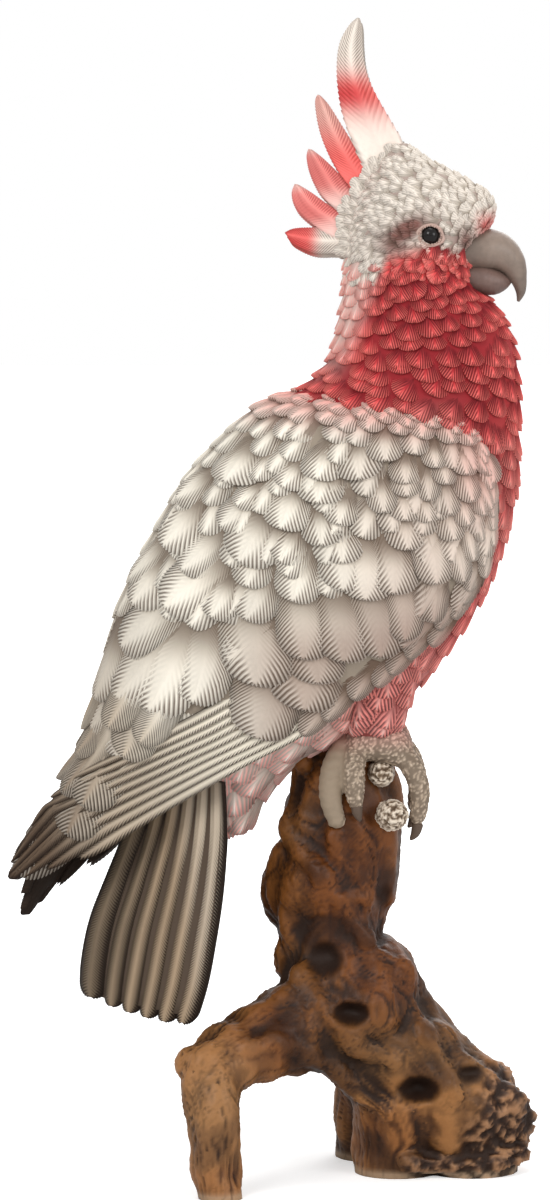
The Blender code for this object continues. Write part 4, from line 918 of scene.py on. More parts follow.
def buildCrest():
    pattern = featherPattern(lines=76, columns=[0.0, 0.08, 0.4, 0.72, 1.0], rootWidth=1.0, shoulder=0.98, blunt=2.0,
                             barbSlope=0.7, aspect=5.0, denseTip=0.2, serration=0.09)
    store = newStore()
    for side in (-1.0, 1.0):
        for number, border in enumerate(crestBorders):
            where = 1.0 - pattern["along"] * 0.995
            edge = along01(border, where)
            left, right = edge[..., 0:2], edge[..., 2:4]
            flat = left + (right - left) * ((pattern["across"] + 1.0) / 2.0)[:, None]
            height, zone = featherHeights(pattern, crestLook)
            drop = 0.0 if side < 0 else crestLook["farDrop"]
            thick = (crestLook["thickness"] + height) * (0.35 + 0.65 * smooth(1.0, 0.6, pattern["along"]))
            deep = np.where(pattern["under"] > 0.5, -0.2, thick)
            y = side * (crestLook["spread"] * 0.5 + deep)
            points = np.stack([flat[:, 0] + drop * 0.5, y, flat[:, 1] - drop], axis=-1)
            colour = crestPaint(number, pattern["along"], pattern["across"], dice.random())
            rosy = np.clip((colour[:, 0] - colour[:, 1]) / colour[:, 0] * 1.5, 0.0, 1.0)
            grooved = pattern["odd"] * zone
            colour = colour * (1.0 - (grooved * rosy)[:, None] * np.array([0.25, 0.62, 0.6]))
            # wash in the grooves, with painted shade on the underside skirt
            washAndShade = grooved * 0.85 * (1.0 - 0.75 * rosy) + pattern["under"] * 0.5
            addFeather(store, pattern, points, colour, washAndShade)
    finishStore("crestFeathers", store, plumagePaint)


def withCaps(rings):  # all points of a row of rings, then the middles of its two ends
    return np.concatenate([np.concatenate(rings), [np.mean(rings[0], axis=0), np.mean(rings[-1], axis=0)]])


def ringsToPiece(name, rings, material, colour, washAndShade):
    count = len(rings[0])
    points = withCaps(rings)
    columns = np.arange(count)
    following = (columns + 1) % count
    quads = []
    for row in range(len(rings) - 1):
        low, high = row * count, (row + 1) * count
        quads.append(np.stack([low + columns, low + following, high + following, high + columns], axis=-1))
    first, last = len(points) - 2, (len(rings) - 1) * count
    caps = np.concatenate([np.stack([np.full(count, first), following, columns], axis=-1),
                           np.stack([np.full(count, first + 1), last + columns, last + following], axis=-1)])
    piece = meshFrom(name, points, [np.concatenate(quads), caps], np.broadcast_to(colour, points.shape),
                     np.broadcast_to(washAndShade, len(points)))
    faceOutward(piece)
    dress(piece, material)


# plain ground under the feathers, a little below each skin, darkened as painted shade where it shows between them
groundLook = {"bodyDepth": -0.4, "bodyShade": 0.45, "bodyGroundShade": 0.55, "wingDepth": -0.8, "wingFrontDepth": -4.0,
              "wingGroundShade": 0.6, "tailDepth": -0.6, "tailGroundShade": 0.5, "bodySides": 72, "wingSides": 81}


def buildGround():
    sides = groundLook["bodySides"]
    turns, depth = np.arange(sides) / sides, np.full(sides, groundLook["bodyDepth"])
    rings = [raised(bodySkin, np.full(sides, row), turns, depth) for row in np.linspace(0.0, 23.5, 108)[1:-1]]
    shade, colours = np.full(sides, groundLook["bodyShade"]), []
    for ring in rings:
        breast, head = breastPaint(ring, shade, 0.5), headPaint(ring, shade, 0.5)
        colours.append(mix(breast, head, smooth(274.0, 284.0, ring[:, 2])))
    colours = np.concatenate(colours + [colours[0][:1], colours[-1][:1]])
    ringsToPiece("bodyGround", rings, redPaint, colours, groundLook["bodyGroundShade"])

    sides = groundLook["wingSides"]
    across, rings = np.linspace(-1.0, 1.0, sides), []
    for row in np.concatenate([[0.12], np.linspace(0.35, 10.4, 60)]):
        depth = groundLook["wingDepth"] if row > 0.3 else groundLook["wingFrontDepth"]
        rings.append(raised(wingSkin, np.full(sides, row), across, np.full(sides, depth)))
    ringsToPiece("wingGround", rings, plumagePaint, paints["creamShade"], groundLook["wingGroundShade"])

    shares, depth, rings = np.linspace(0.02, 0.98, 8), np.array(groundLook["tailDepth"]), []
    for where in np.linspace(0.0, 0.93, 16):
        near = [tailPoint(-1.0, np.array(where), np.array(share), depth) for share in np.linspace(0.98, 0.02, 8)]
        far = [tailPoint(1.0, np.array(where), np.array(share), depth) for share in shares]
        middle = (near[0] + far[-1]) / 2.0 + np.array([-2.5, 0.0, 0.0])
        rings.append(np.array(near + far + [middle]))
    ringsToPiece("tailGround", rings, darkPaint, paints["taupeDark"], groundLook["tailGroundShade"])
    print("ground ready")


# beak lines: middle x z, heading in degrees, half height, share of the width
upperBeakLine = [(56.0, 288.0, 0.0, 6.2, 1.0), (64.6, 288.4, -8.0, 6.4, 0.98), (69.4, 287.0, -32.0, 5.7, 0.82),
                 (72.9, 283.4, -60.0, 4.2, 0.6), (74.6, 279.0, -80.0, 2.6, 0.4), (75.2, 275.2, -98.0, 1.5, 0.24),
                 (74.5, 272.3, -110.0, 0.4, 0.07)]
lowerBeakLine = [(56.0, 280.2, 0.0, 4.4, 1.0), (63.0, 279.3, -4.0, 4.8, 0.95), (67.4, 278.5, 0.0, 4.1, 0.78),
                 (70.2, 278.6, 8.0, 2.7, 0.52), (72.2, 278.9, 20.0, 0.8, 0.18)]
beakLook = {"upperWidth": 16.5, "lowerWidth": 12.5, "growthLines": 60.0, "lineDepth": 0.012, "seamShade": 0.8,
            "lowerColour": tone(116, 92, 84), "rings": 40}


def buildBeak():
    count = beakLook["rings"]
    for name, table, width, inward, colour in (
            ("upperBeak", upperBeakLine, beakLook["upperWidth"], -1.0, paints["beak"]),
            ("lowerBeak", lowerBeakLine, beakLook["lowerWidth"], 1.0, beakLook["lowerColour"])):
        rings = []
        for where in np.linspace(0.0, 1.0, count):
            x, z, heading, half, share = along01(table, where)
            turn = math.radians(heading)
            upward = np.array([-math.sin(turn), 0.0, math.cos(turn)])
            ring = []
            for step in range(count):
                angle = 2.0 * math.pi * step / count
                flat = math.copysign(abs(math.sin(angle)) ** 0.9, math.sin(angle))
                groove = 1.0 - beakLook["lineDepth"] * (math.sin(where * beakLook["growthLines"]) > 0.6)
                ring.append(np.array([x, 0.0, z]) + upward * half * math.cos(angle) * groove
                            + np.array([0.0, width / 2.0 * share * flat * groove, 0.0]))
            rings.append(np.array(ring))
        angles = np.tile(np.arange(count) * 2.0 * math.pi / count, count)
        seam = smooth(0.55, 0.95, inward * np.cos(angles))
        shade = np.concatenate([0.12 + beakLook["seamShade"] * seam, [0.3, 0.3]])
        spots = withCaps(rings) + figureShift
        # painted shade and highlight: the beak is darker at its base and underside, lighter on its upper front
        beakShadeAndHighlight = 0.72 + 0.45 * smooth(60.0, 67.0, spots[:, 0]) * smooth(272.0, 290.0, spots[:, 2])
        ringsToPiece(name, rings, beakPaint, colour * beakShadeAndHighlight[:, None], shade)
    print("beak ready")


# driftwood limbs: x, y, z, radius
limbs = [
    [(21.0, 2.0, 131.0, 12.5), (22.0, 0.0, 122.0, 16.0), (21.0, 0.0, 112.0, 18.8), (20.5, 1.0, 101.0, 18.8),
     (16.5, 2.0, 90.0, 21.2), (17.0, 1.0, 79.0, 17.2), (17.6, 0.0, 70.0, 16.6), (22.5, 1.0, 60.0, 22.6),
     (23.5, 2.0, 50.0, 22.4)],
    [(24.0, 0.0, 52.0, 19.0), (6.0, -10.0, 48.5, 15.0), (-9.0, -22.0, 43.5, 11.0), (-19.0, -31.0, 38.5, 9.8),
     (-20.0, -36.0, 28.0, 9.0), (-18.4, -37.5, 14.0, 7.6), (-16.6, -38.0, -6.0, 6.6)],
    [(-20.0, -31.0, 40.0, 8.0), (-28.5, -33.0, 39.6, 5.2)],
    [(24.0, 4.0, 50.0, 20.0), (38.0, 4.0, 36.0, 20.0), (50.0, 5.0, 24.0, 19.0), (63.0, 6.0, 17.0, 17.2),
     (73.0, 7.0, 12.0, 10.6)],
    [(34.0, 8.0, 40.0, 16.0), (32.0, 20.0, 22.0, 14.0), (32.0, 29.0, 6.0, 13.5), (32.0, 30.0, -8.0, 13.5)],
    [(46.0, 8.0, 24.0, 18.0), (58.0, 22.0, 14.0, 16.0), (60.0, 26.0, -6.0, 16.0)],
    [(40.0, 2.0, 24.0, 17.0), (37.0, 3.0, 10.0, 13.0), (38.0, 4.0, -8.0, 13.5)],
    [(62.0, 6.0, 14.0, 14.0), (61.0, 6.0, -6.0, 15.0)],
    [(14.0, -3.0, 126.0, 6.0), (11.5, -4.0, 134.0, 4.6)]]


def tubeRings(table, sides=16, dense=4):
    table = np.asarray(table, dtype=float)
    count = (len(table) - 1) * dense + 1
    samples = [along01(table, k / (count - 1)) for k in range(count)]
    rings = []
    for index, sample in enumerate(samples):
        ahead = samples[min(index + 1, count - 1)][:3] - samples[max(index - 1, 0)][:3]
        ahead = ahead / np.linalg.norm(ahead)
        first = np.cross(ahead, np.array([0.13, 1.0, 0.07]))
        first = first / np.linalg.norm(first)
        second = np.cross(ahead, first)
        turn = np.arange(sides) * 2.0 * math.pi / sides
        ring = sample[:3] + (np.outer(np.cos(turn), first) + np.outer(np.sin(turn), second)) * sample[3]
        if index == 0:
            rings.append(ring * 0.45 + sample[:3] * 0.55 - ahead * sample[3] * 0.6)
        rings.append(ring)
        if index == count - 1:
            rings.append(ring * 0.45 + sample[:3] * 0.55 + ahead * sample[3] * 0.6)
    return rings


def fusedMesh(name, ringSets, voxel, steps):  # overlapping tubes made into one even skin
    work = bmesh.new()
    for rings in ringSets:
        count = len(rings[0])
        made = [[work.verts.new(point * mm) for point in ring] for ring in rings]
        for low, high in zip(made[:-1], made[1:]):
            for index in range(count):
                after = (index + 1) % count
                work.faces.new((low[index], low[after], high[after], high[index]))
        work.faces.new(made[0][::-1])
        work.faces.new(made[-1])
    bmesh.ops.recalc_face_normals(work, faces=work.faces)
    mesh = bpy.data.meshes.new(name + "Blank")
    work.to_mesh(mesh)
    work.free()
    blank = showObject(name + "Blank", mesh)
    fuse = blank.modifiers.new("fuse", "REMESH")
    fuse.mode = "VOXEL"
    fuse.voxel_size = voxel * mm
    calm = blank.modifiers.new("calm", "SMOOTH")
    calm.factor = 0.6
    calm.iterations = steps
    bpy.context.view_layer.update()
    graph = bpy.context.evaluated_depsgraph_get()
    made = bpy.data.meshes.new_from_object(blank.evaluated_get(graph))
    bpy.data.objects.remove(blank, do_unlink=True)
    return made


def meshArrays(mesh):
    count = len(mesh.vertices)
    points, normals = np.empty(count * 3), np.empty(count * 3)
    mesh.vertices.foreach_get("co", points)
    mesh.vertices.foreach_get("normal", normals)
    return points.reshape(-1, 3) / mm, normals.reshape(-1, 3)


def placeMesh(name, mesh, points, colours, washAndShade, material):
    points[:, 2] = np.maximum(points[:, 2], 0.0)
    mesh.vertices.foreach_set("co", ((points + figureShift) * mm).reshape(-1))
    writeLayer(mesh, "paint", colours)
    writeLayer(mesh, "washAndShade", np.clip(washAndShade, 0.0, 1.0))
    mesh.shade_smooth()
    mesh.update()
    mesh.name = name
    dress(showObject(name, mesh), material)
    print(name, len(mesh.polygons) * 2, "triangles")


# raised ridges and knots on it, in the same way
woodRidges = [
    [(7.5, -12.5, 66.0, 4.2), (12.8, -18.6, 57.5, 3.4), (18.4, -19.6, 49.8, 3.4), (26.4, -16.0, 42.5, 3.4),
     (36.7, -14.4, 37.5, 2.8)],
    [(31.0, -11.0, 70.0, 3.6), (38.5, -8.2, 65.0, 4.2), (41.0, -6.0, 59.0, 4.0), (42.5, -7.6, 51.0, 3.6),
     (46.5, -10.6, 44.5, 3.2)],
    [(46.5, -10.8, 44.5, 3.2), (50.0, -10.4, 39.1, 3.2), (53.4, -11.2, 33.0, 3.0), (56.0, -12.4, 25.8, 2.4)],
    [(1.6, -6.0, 92.0, 3.6), (3.2, -7.6, 84.2, 3.4), (6.0, -8.8, 75.7, 3.2), (7.0, -7.8, 68.3, 2.8)],
    [(19.0, -16.4, 91.0, 3.6), (23.0, -12.6, 81.0, 3.6), (28.0, -11.6, 74.5, 3.2)],
    [(-10.9, -33.2, 45.0, 3.4), (-1.2, -27.6, 46.5, 3.4), (11.4, -19.8, 40.8, 3.4), (23.4, -10.4, 31.0, 3.4),
     (35.2, -11.6, 21.0, 3.2)],
    [(3.5, -3.5, 72.0, 4.2), (3.0, -1.5, 65.0, 4.4)],
    [(-22.5, -36.2, 43.0, 3.2), (-23.0, -39.6, 32.0, 2.8), (-21.2, -42.0, 20.8, 2.6), (-19.4, -41.8, 6.6, 2.4)],
    [(55.0, -7.0, 37.0, 3.8), (65.0, -3.6, 30.0, 4.0), (73.5, -2.4, 23.0, 3.8), (77.6, 2.6, 15.4, 3.6)],
    [(40.0, -9.8, 5.5, 2.8), (52.0, -6.6, 4.0, 3.0), (68.0, -6.4, 5.0, 3.0), (77.4, 0.0, 7.0, 3.0)],
    [(7.6, -8.4, 131.0, 3.2), (7.4, -2.8, 122.0, 3.4), (5.0, -6.0, 111.6, 3.4), (6.2, -9.2, 105.6, 3.2),
     (10.8, -14.8, 100.5, 3.2), (15.0, -18.0, 94.8, 3.2)],
    [(17.8, -18.2, 110.0, 2.8), (20.0, -16.4, 102.2, 3.0), (24.7, -14.8, 95.8, 3.0)],
    [(20.0, 15.0, 120.0, 3.4), (12.0, 16.4, 100.0, 3.6), (17.0, 15.4, 80.0, 3.6), (14.0, 17.0, 60.0, 3.4)],
    [(31.0, 14.0, 104.0, 3.4), (28.0, 16.6, 84.0, 3.6), (33.0, 17.4, 60.0, 3.6), (36.0, 25.0, 40.0, 3.4)]]
# hollows, pressed in and painted darker as shade: centre, then half size
woodHollows = [((23.1, -20.5, 53.8), (5.2, 7.0, 3.6)), ((43.9, -13.5, 28.8), (6.6, 7.0, 4.0)),
               ((33.6, -14.5, 87.0), (3.2, 5.0, 6.4)), ((15.0, -18.5, 70.5), (6.0, 5.0, 5.0)),
               ((60.0, -8.5, 33.0), (4.6, 4.0, 3.0))]
woodLook = {"voxel": 0.95, "grain": 0.42, "fineGrain": 0.2, "bark": 1.5, "easing": 60, "relief": 0.55}


def buildDriftwood():
    shapes = [tubeRings(limb) for limb in limbs] + [tubeRings(ridge) for ridge in woodRidges]
    mesh = fusedMesh("driftwood", shapes, woodLook["voxel"], 9)
    points, normals = meshArrays(mesh)
    count = len(points)
    x, y, z = points.T
    fade = np.clip((z - 1.0) / 6.0, 0.0, 1.0)
    swell = 0.9 * np.sin(x * 0.42 + 1.7 * np.sin(z * 0.05)) * np.sin(y * 0.37 + z * 0.11 + 1.0)
    swell = swell + 1.1 * np.sin(z * 0.19 + y * 0.09 + 0.6) * np.sin(x * 0.13 - y * 0.21)
    axisPoints, axisHeads, radius = [], [], []
    for limb in limbs + woodRidges:
        samples = np.array([along01(limb, k / 24.0) for k in range(25)])
        heads = np.gradient(samples[:, :3], axis=0)
        axisPoints.append(samples[:, :3])
        axisHeads.append(heads / np.linalg.norm(heads, axis=1, keepdims=True))
        radius.append(samples[:, 3])
    axisPoints, axisHeads, radius = np.concatenate(axisPoints), np.concatenate(axisHeads), np.concatenate(radius)
    heads = np.empty((count, 3))
    for start in range(0, count, 4000):  # grain runs with the limbs around each spot
        block = points[start:start + 4000]
        gap = np.linalg.norm(block[:, None, :] - axisPoints[None], axis=2)
        weight = np.exp(-np.abs(gap - radius[None]) / 2.5)
        flow = (weight[..., None] * axisHeads[None] * np.sign(axisHeads[None, :, 2:3] + 1e-6)).sum(axis=1)
        heads[start:start + 4000] = flow / np.maximum(np.linalg.norm(flow, axis=1, keepdims=True), 1e-6)
    heads = heads - normals * np.einsum("ij,ij->i", heads, normals)[:, None]
    heads = heads / np.maximum(np.linalg.norm(heads, axis=1, keepdims=True), 1e-6)
    sides = np.cross(normals, heads)
    barkZone = smooth(56.0, 66.0, x + 0.35 * (18.0 - z)) * smooth(46.0, 34.0, z)
    barkZone = np.maximum(barkZone, smooth(10.0, 5.0, z) * smooth(38.0, 44.0, x))
    grain, fine, blotch, rough, patch = (np.empty(count) for _ in range(5))
    for index in range(count):
        p, head, side = Vector(points[index]), Vector(heads[index]), Vector(sides[index])
        wave = noise.noise_vector(p * 0.06) * 2.2
        s = side.dot(p + wave * 1.5)
        a = head.dot(p)
        grain[index] = 1.0 - 2.0 * abs(noise.noise(Vector((s * 0.34, a * 0.03, 4.0)) + p * 0.02))
        fine[index] = noise.noise(Vector((s * 1.5, a * 0.09, 9.0)) + p * 0.05)
        blotch[index] = noise.noise(p * 0.07 + Vector((3.0, 1.0, 7.0)))
        patch[index] = noise.noise(p * 0.03 + Vector((13.0, 5.0, 2.0)))
        rough[index] = noise.fractal(p * 0.3, 0.8, 2.1, 4)
    offset = woodLook["grain"] * (grain - 0.6) + woodLook["fineGrain"] * fine + 0.25 * rough * (1.0 - barkZone)
    offset = offset * (1.0 - barkZone) + barkZone * woodLook["bark"] * (rough - 0.1)
    points = points + normals * ((swell * fade + offset * smooth(0.3, 4.0, z)))[:, None]
    # painted shade inside the pressed-in hollows
    hollowShade = np.zeros(count)
    for centre, radii in woodHollows:
        away = (points - np.array(centre)) / np.array(radii)
        away[:, 1] *= 0.6
        reach = np.linalg.norm(away, axis=1)
        push = smooth(1.3, 0.2, reach)
        points = points + np.array([0.0, 1.0, 0.0]) * (push * radii[1] * 0.9)[:, None]
        hollowShade = np.maximum(hollowShade, smooth(1.35, 0.55, reach))
    links = np.empty(len(mesh.edges) * 2, dtype=np.int64)
    mesh.edges.foreach_get("vertices", links)
    ends = np.concatenate([links.reshape(-1, 2), links.reshape(-1, 2)[:, ::-1]])
    degree = np.maximum(np.bincount(ends[:, 0], minlength=count), 1)[:, None]
    eased = points.copy()
    for step in range(woodLook["easing"]):  # an eased copy of the surface shows what lies deep and what stands out, for the painted shade in hollows and the painted highlight on ridges
        total = np.stack([np.bincount(ends[:, 0], eased[ends[:, 1], k], minlength=count) for k in range(3)], axis=1)
        eased = 0.4 * eased + 0.6 * total / degree
    hollow = np.einsum("ij,ij->i", eased - points, normals) / woodLook["relief"]
    # lighter on ridges and darker in hollows: painted light and shade mixed into the wood's grain colour
    share = np.clip(0.5 + 0.4 * (grain - 0.62) + 0.3 * fine + 0.3 * blotch - 0.3 * hollow, 0.0, 1.0) * 0.85
    base = mix(tone(58, 35, 19), tone(150, 108, 68), share)
    base = mix(base, tone(126, 76, 38), smooth(0.02, 0.3, patch) * 0.45)
    base = mix(base, tone(124, 98, 70), smooth(0.05, 0.3, -patch) * 0.45)
    base = mix(base, tone(56, 34, 20), smooth(0.05, 0.35, -blotch) * 0.7)
    trunk = smooth(22.0, 56.0, points[:, 2]) * smooth(-20.0, 2.0, points[:, 0])
    base = mix(base * np.array([0.8, 0.72, 0.6]), base * np.array([0.45, 0.32, 0.18]), trunk)
    # painted highlight on the ridges that stand out
    base = mix(base, base * 1.7, smooth(0.5, 1.5, -hollow) * 0.5)
    base = mix(base, mix(tone(60, 38, 25), tone(152, 112, 80), smooth(-0.1, 0.5, rough)), barkZone)
    # painted highlight on the left leg of the stand
    legHighlight = smooth(4.0, -12.0, x) * smooth(60.0, 40.0, z)
    base = mix(base, tone(166, 120, 78), legHighlight * 0.4 * share)
    foot = smooth(3.0, 1.2, z)
    base = mix(base, tone(176, 150, 122), foot * 0.6)
    # real cracks in the grain, with painted shade in deep hollows and in the bark's hollows
    crackAndHollowShade = smooth(-0.1, -0.5, fine) * 0.3 + smooth(0.1, -0.25, grain) * 0.5 + smooth(0.15, 1.3, hollow) * 0.85
    bark = barkZone * np.maximum(smooth(0.1, -0.35, rough), smooth(0.1, 1.2, hollow))
    washAndShade = np.clip(np.maximum(crackAndHollowShade * (1.0 - barkZone) + bark, hollowShade), 0.0, 1.0)
    placeMesh("driftwood", mesh, points, base, washAndShade, woodPaint)


eyeSpot = bodySkin(4.3, 0.276)

headLook = {"root": -0.5, "lift": 0.75, "curl": 1.1, "camber": 0.45, "shaft": 0.1, "groove": 0.24, "grooveStart": 0.0,
            "round": 0.1, "depth": 0.9, "grooveWash": 0.6, "footShade": (0.1, 0.6), "dryColour": tone(236, 228, 216),
            "dryBrush": 0.1, "spacing": 2.6, "rowStep": 0.3, "length": 5.2, "halfWidth": 1.95, "eyeRoom": 4.3,
            "washShare": 0.7}


def headPaint(points, share, chance):
    x, z = points[..., 0], points[..., 2]
    paint = mix(paints["creamShade"], paints["white"], 0.25 + 0.75 * smooth(0.1, 0.75, share))
    line = z - np.interp(x, [18.0, 24.0, 28.0, 34.0, 44.0, 60.0], [240.0, 258.0, 273.0, 287.5, 289.0, 286.0])
    red = mix(paints["red"], paints["coral"], smooth(0.4, 0.95, share))
    paint = mix(paint, mix(paints["pink"], red, smooth(2.0, -4.0, line)), smooth(3.5, -2.5, line))
    front = smooth(59.0, 64.5, x) * smooth(302.0, 296.0, z) * smooth(286.0, 291.0, z)
    paint = mix(paint, mix(paints["red"], paints["pink"], smooth(0.5, 1.0, share) * 0.6), front * 0.85)
    brown = np.exp(-(((x - 39.4) / 6.6) ** 2 + ((z - 294.6 - 0.45 * (x - 40.0)) / 3.6) ** 2)) * 1.25
    brown = np.maximum(brown, 0.8 * np.exp(-(((x - 35.5) / 5.4) ** 2 + ((z - 290.4) / 4.6) ** 2)))
    brown = np.maximum(brown, 0.8 * np.exp(-(((x - 58.0) / 3.0) ** 2 + ((z - 291.0) / 5.0) ** 2)))
    paint = mix(paint, mix(tone(72, 38, 34), tone(128, 80, 72), share), np.clip(brown * 1.2, 0.0, 1.0))
    return paint * (1.0 + 0.12 * (chance - 0.5))


def headFlow(point, along):  # plumes run back from the beak, and down on the cheeks
    away = point - np.array([66.0, 0.0, 288.0])
    away = away / np.linalg.norm(away) + np.array([0.0, 0.0, -0.15])
    share = float(smooth(288.0, 266.0, point[2]))
    return away / np.linalg.norm(away) * (1.0 - share) + along / np.linalg.norm(along) * share


def buildHead():
    pattern = featherPattern(lines=12, columns=[0.0, 0.45, 1.0], rootWidth=0.6, shoulder=0.62, blunt=2.3,
                             barbSlope=2.6, aspect=2.2, denseTip=0.7)
    store = newStore()
    row, number = 0.35, 0
    while row < 5.9:
        places, arc, around = measureRow(bodySkin, row, 0.0, 1.0, 121)
        count = max(int(around / headLook["spacing"]), 4)
        for index in range(count):
            spot = ((index + 0.5 * (number % 2)) / count + dice.normal(0.0, 0.28) / count) % 1.0
            turn = float(np.interp(spot, arc, places))
            here = row + dice.normal(0.0, 0.11)
            point = bodySkin(here, turn)
            chance, lean, tilt = dice.random(), dice.normal(0.0, 0.22), dice.normal(0.0, 0.2)
            size = 1.0 + dice.normal(0.0, 0.13)
            fromEye = math.hypot(point[0] - eyeSpot[0] - 0.4, (point[2] - eyeSpot[2]) * 1.15)
            if fromEye < headLook["eyeRoom"] or (point[0] > 59.5 and point[2] < 292.5 and abs(point[1]) < 8.2):
                continue
            calm = 0.75 if fromEye < 6.5 else 1.0
            heading = headFlow(point, slopes(bodySkin, here, turn)[0])
            layFeather(store, bodySkin, here, turn, heading, pattern, headLook["length"] * size * calm,
                       headLook["halfWidth"] * size * calm, headLook, headPaint, chance, lean, tilt,
                       headLook["washShare"])
        row += headLook["rowStep"]
        number += 1
    buildCrestRoots(pattern, store)
    finishStore("headPlumes", store, plumagePaint)


crestRootLook = {"centre": (50.0, 292.0), "rows": [3.22, 2.98, 2.74, 2.5], "from": 114.0, "to": 190.0, "spacing": 2.5,
                 "length": 6.4, "halfWidth": 2.0}


def crestRootSkin(side):  # small plumes run out over the foot of the crest on this fan
    def skin(row, turn):
        row, turn = np.broadcast_arrays(np.asarray(row, float), np.asarray(turn, float))
        low, high = crestRootLook["from"], crestRootLook["to"]
        angle = np.radians(low + (high - low) * (turn if side < 0 else 1.0 - turn))
        y = side * (2.0 + 4.2 * smooth(3.1, 2.3, row))
        return np.stack([crestRootLook["centre"][0] + 10.0 * row * np.cos(angle), y,
                         crestRootLook["centre"][1] + 10.0 * row * np.sin(angle)], axis=-1)
    return skin


def buildCrestRoots(pattern, store):
    for side in (-1.0, 1.0):
        skin = crestRootSkin(side)
        for number, row in enumerate(crestRootLook["rows"]):
            length = math.radians(crestRootLook["to"] - crestRootLook["from"]) * row * 10.0
            count = int(length / crestRootLook["spacing"])
            for index in range(count):
                turn = (index + 0.5 * (number % 2) + 0.25 + dice.normal(0.0, 0.2)) / count
                here = row + dice.normal(0.0, 0.06)
                size = 1.0 + dice.normal(0.0, 0.12)
                layFeather(store, skin, here, turn, slopes(skin, here, turn)[0], pattern,
                           crestRootLook["length"] * size, crestRootLook["halfWidth"] * size, headLook, headPaint,
                           dice.random(), dice.normal(0.0, 0.2), dice.normal(0.0, 0.2), headLook["washShare"])


def ballPiece(points, quads, centre, radii, rings=12, sides=20):
    start = sum(len(block) for block in points)
    made = []
    for row in range(rings + 1):
        lift = math.pi * row / rings
        for side in range(sides):
            turn = 2.0 * math.pi * side / sides
            made.append((centre[0] + radii[0] * math.sin(lift) * math.cos(turn), centre[1] + radii[1] * math.cos(lift),
                         centre[2] + radii[2] * math.sin(lift) * math.sin(turn)))
    points.append(np.array(made))
    for row in range(rings):
        for side in range(sides):
            after = (side + 1) % sides
            quads.append((start + row * sides + side, start + row * sides + after,
                          start + (row + 1) * sides + after, start + (row + 1) * sides + side))


def mergedPiece(name, points, quads, material, colour, washAndShade):
    whole = np.concatenate(points)
    piece = meshFrom(name, whole, [np.array(quads)], np.tile(colour, (len(whole), 1)), np.full(len(whole), washAndShade))
    faceOutward(piece, weld=True)
    dress(piece, material)


eyeLook = {"diameter": 5.8, "bead": 0.36, "beads": 27, "ring": 3.3, "high": 0.88, "roughness": 0.08, "specular": 0.2}


def buildEyes():
    look = eyeLook
    gloss = bpy.data.materials.new("eyeGloss")
    gloss.use_nodes = True
    shader = gloss.node_tree.nodes["Principled BSDF"]
    speck = gloss.node_tree.nodes.new("ShaderNodeTexNoise")
    speck.inputs["Scale"].default_value = 700.0
    ramp = gloss.node_tree.nodes.new("ShaderNodeMix")
    ramp.data_type = "RGBA"
    ramp.inputs[6].default_value = (0.004, 0.004, 0.004, 1.0)
    ramp.inputs[7].default_value = (0.014, 0.011, 0.01, 1.0)
    gloss.node_tree.links.new(speck.outputs["Fac"], ramp.inputs["Factor"])
    gloss.node_tree.links.new(ramp.outputs[2], shader.inputs["Base Color"])
    shader.inputs["Roughness"].default_value = look["roughness"]
    shader.inputs["Specular IOR Level"].default_value = look["specular"]
    balls, ballFaces, lids, lidFaces = [], [], [], []
    for side in (-1.0, 1.0):
        depth = abs(eyeSpot[1])
        radius = look["diameter"] / 2.0
        ballPiece(balls, ballFaces, (eyeSpot[0], side * (depth - 1.1), eyeSpot[2]), (radius,) * 3, 20, 28)
        for index in range(look["beads"]):
            turn = 2.0 * math.pi * index / look["beads"]
            reach = look["ring"] * (1.0 + 0.03 * math.sin(index * 2.4))
            x = eyeSpot[0] + reach * math.cos(turn)
            z = eyeSpot[2] + reach * look["high"] * math.sin(turn)
            size = look["bead"] * (1.0 + 0.3 * math.sin(index * 4.3))
            ballPiece(lids, lidFaces, (x, side * (depth + 0.4), z), (size, 0.6, size), 6, 8)
        sides, steps = 10, 48
        start = sum(len(block) for block in lids)
        ring = []
        for step in range(steps):
            turn = 2.0 * math.pi * step / steps
            corner = 1.0 + 0.16 * math.exp(-((turn - 5.85) / 0.4) ** 2) + 0.1 * math.exp(-((turn - 2.9) / 0.4) ** 2)
            for spoke in range(sides):
                angle = 2.0 * math.pi * spoke / sides
                reach = (look["ring"] + 0.3 + 0.55 * math.cos(angle)) * corner
                ring.append((eyeSpot[0] + reach * math.cos(turn), side * (depth - 0.1 + 0.62 * math.sin(angle)),
                             eyeSpot[2] + reach * look["high"] * math.sin(turn)))
        lids.append(np.array(ring))
        for step in range(steps):
            after = (step + 1) % steps
            for spoke in range(sides):
                other = (spoke + 1) % sides
                lidFaces.append((start + step * sides + spoke, start + step * sides + other,
                                 start + after * sides + other, start + after * sides + spoke))
    mergedPiece("eyes", balls, ballFaces, gloss, tone(8, 8, 8), 0.0)
    mergedPiece("eyelids", lids, lidFaces, plumagePaint, tone(206, 176, 164), 0.3)
    print("eyes ready")


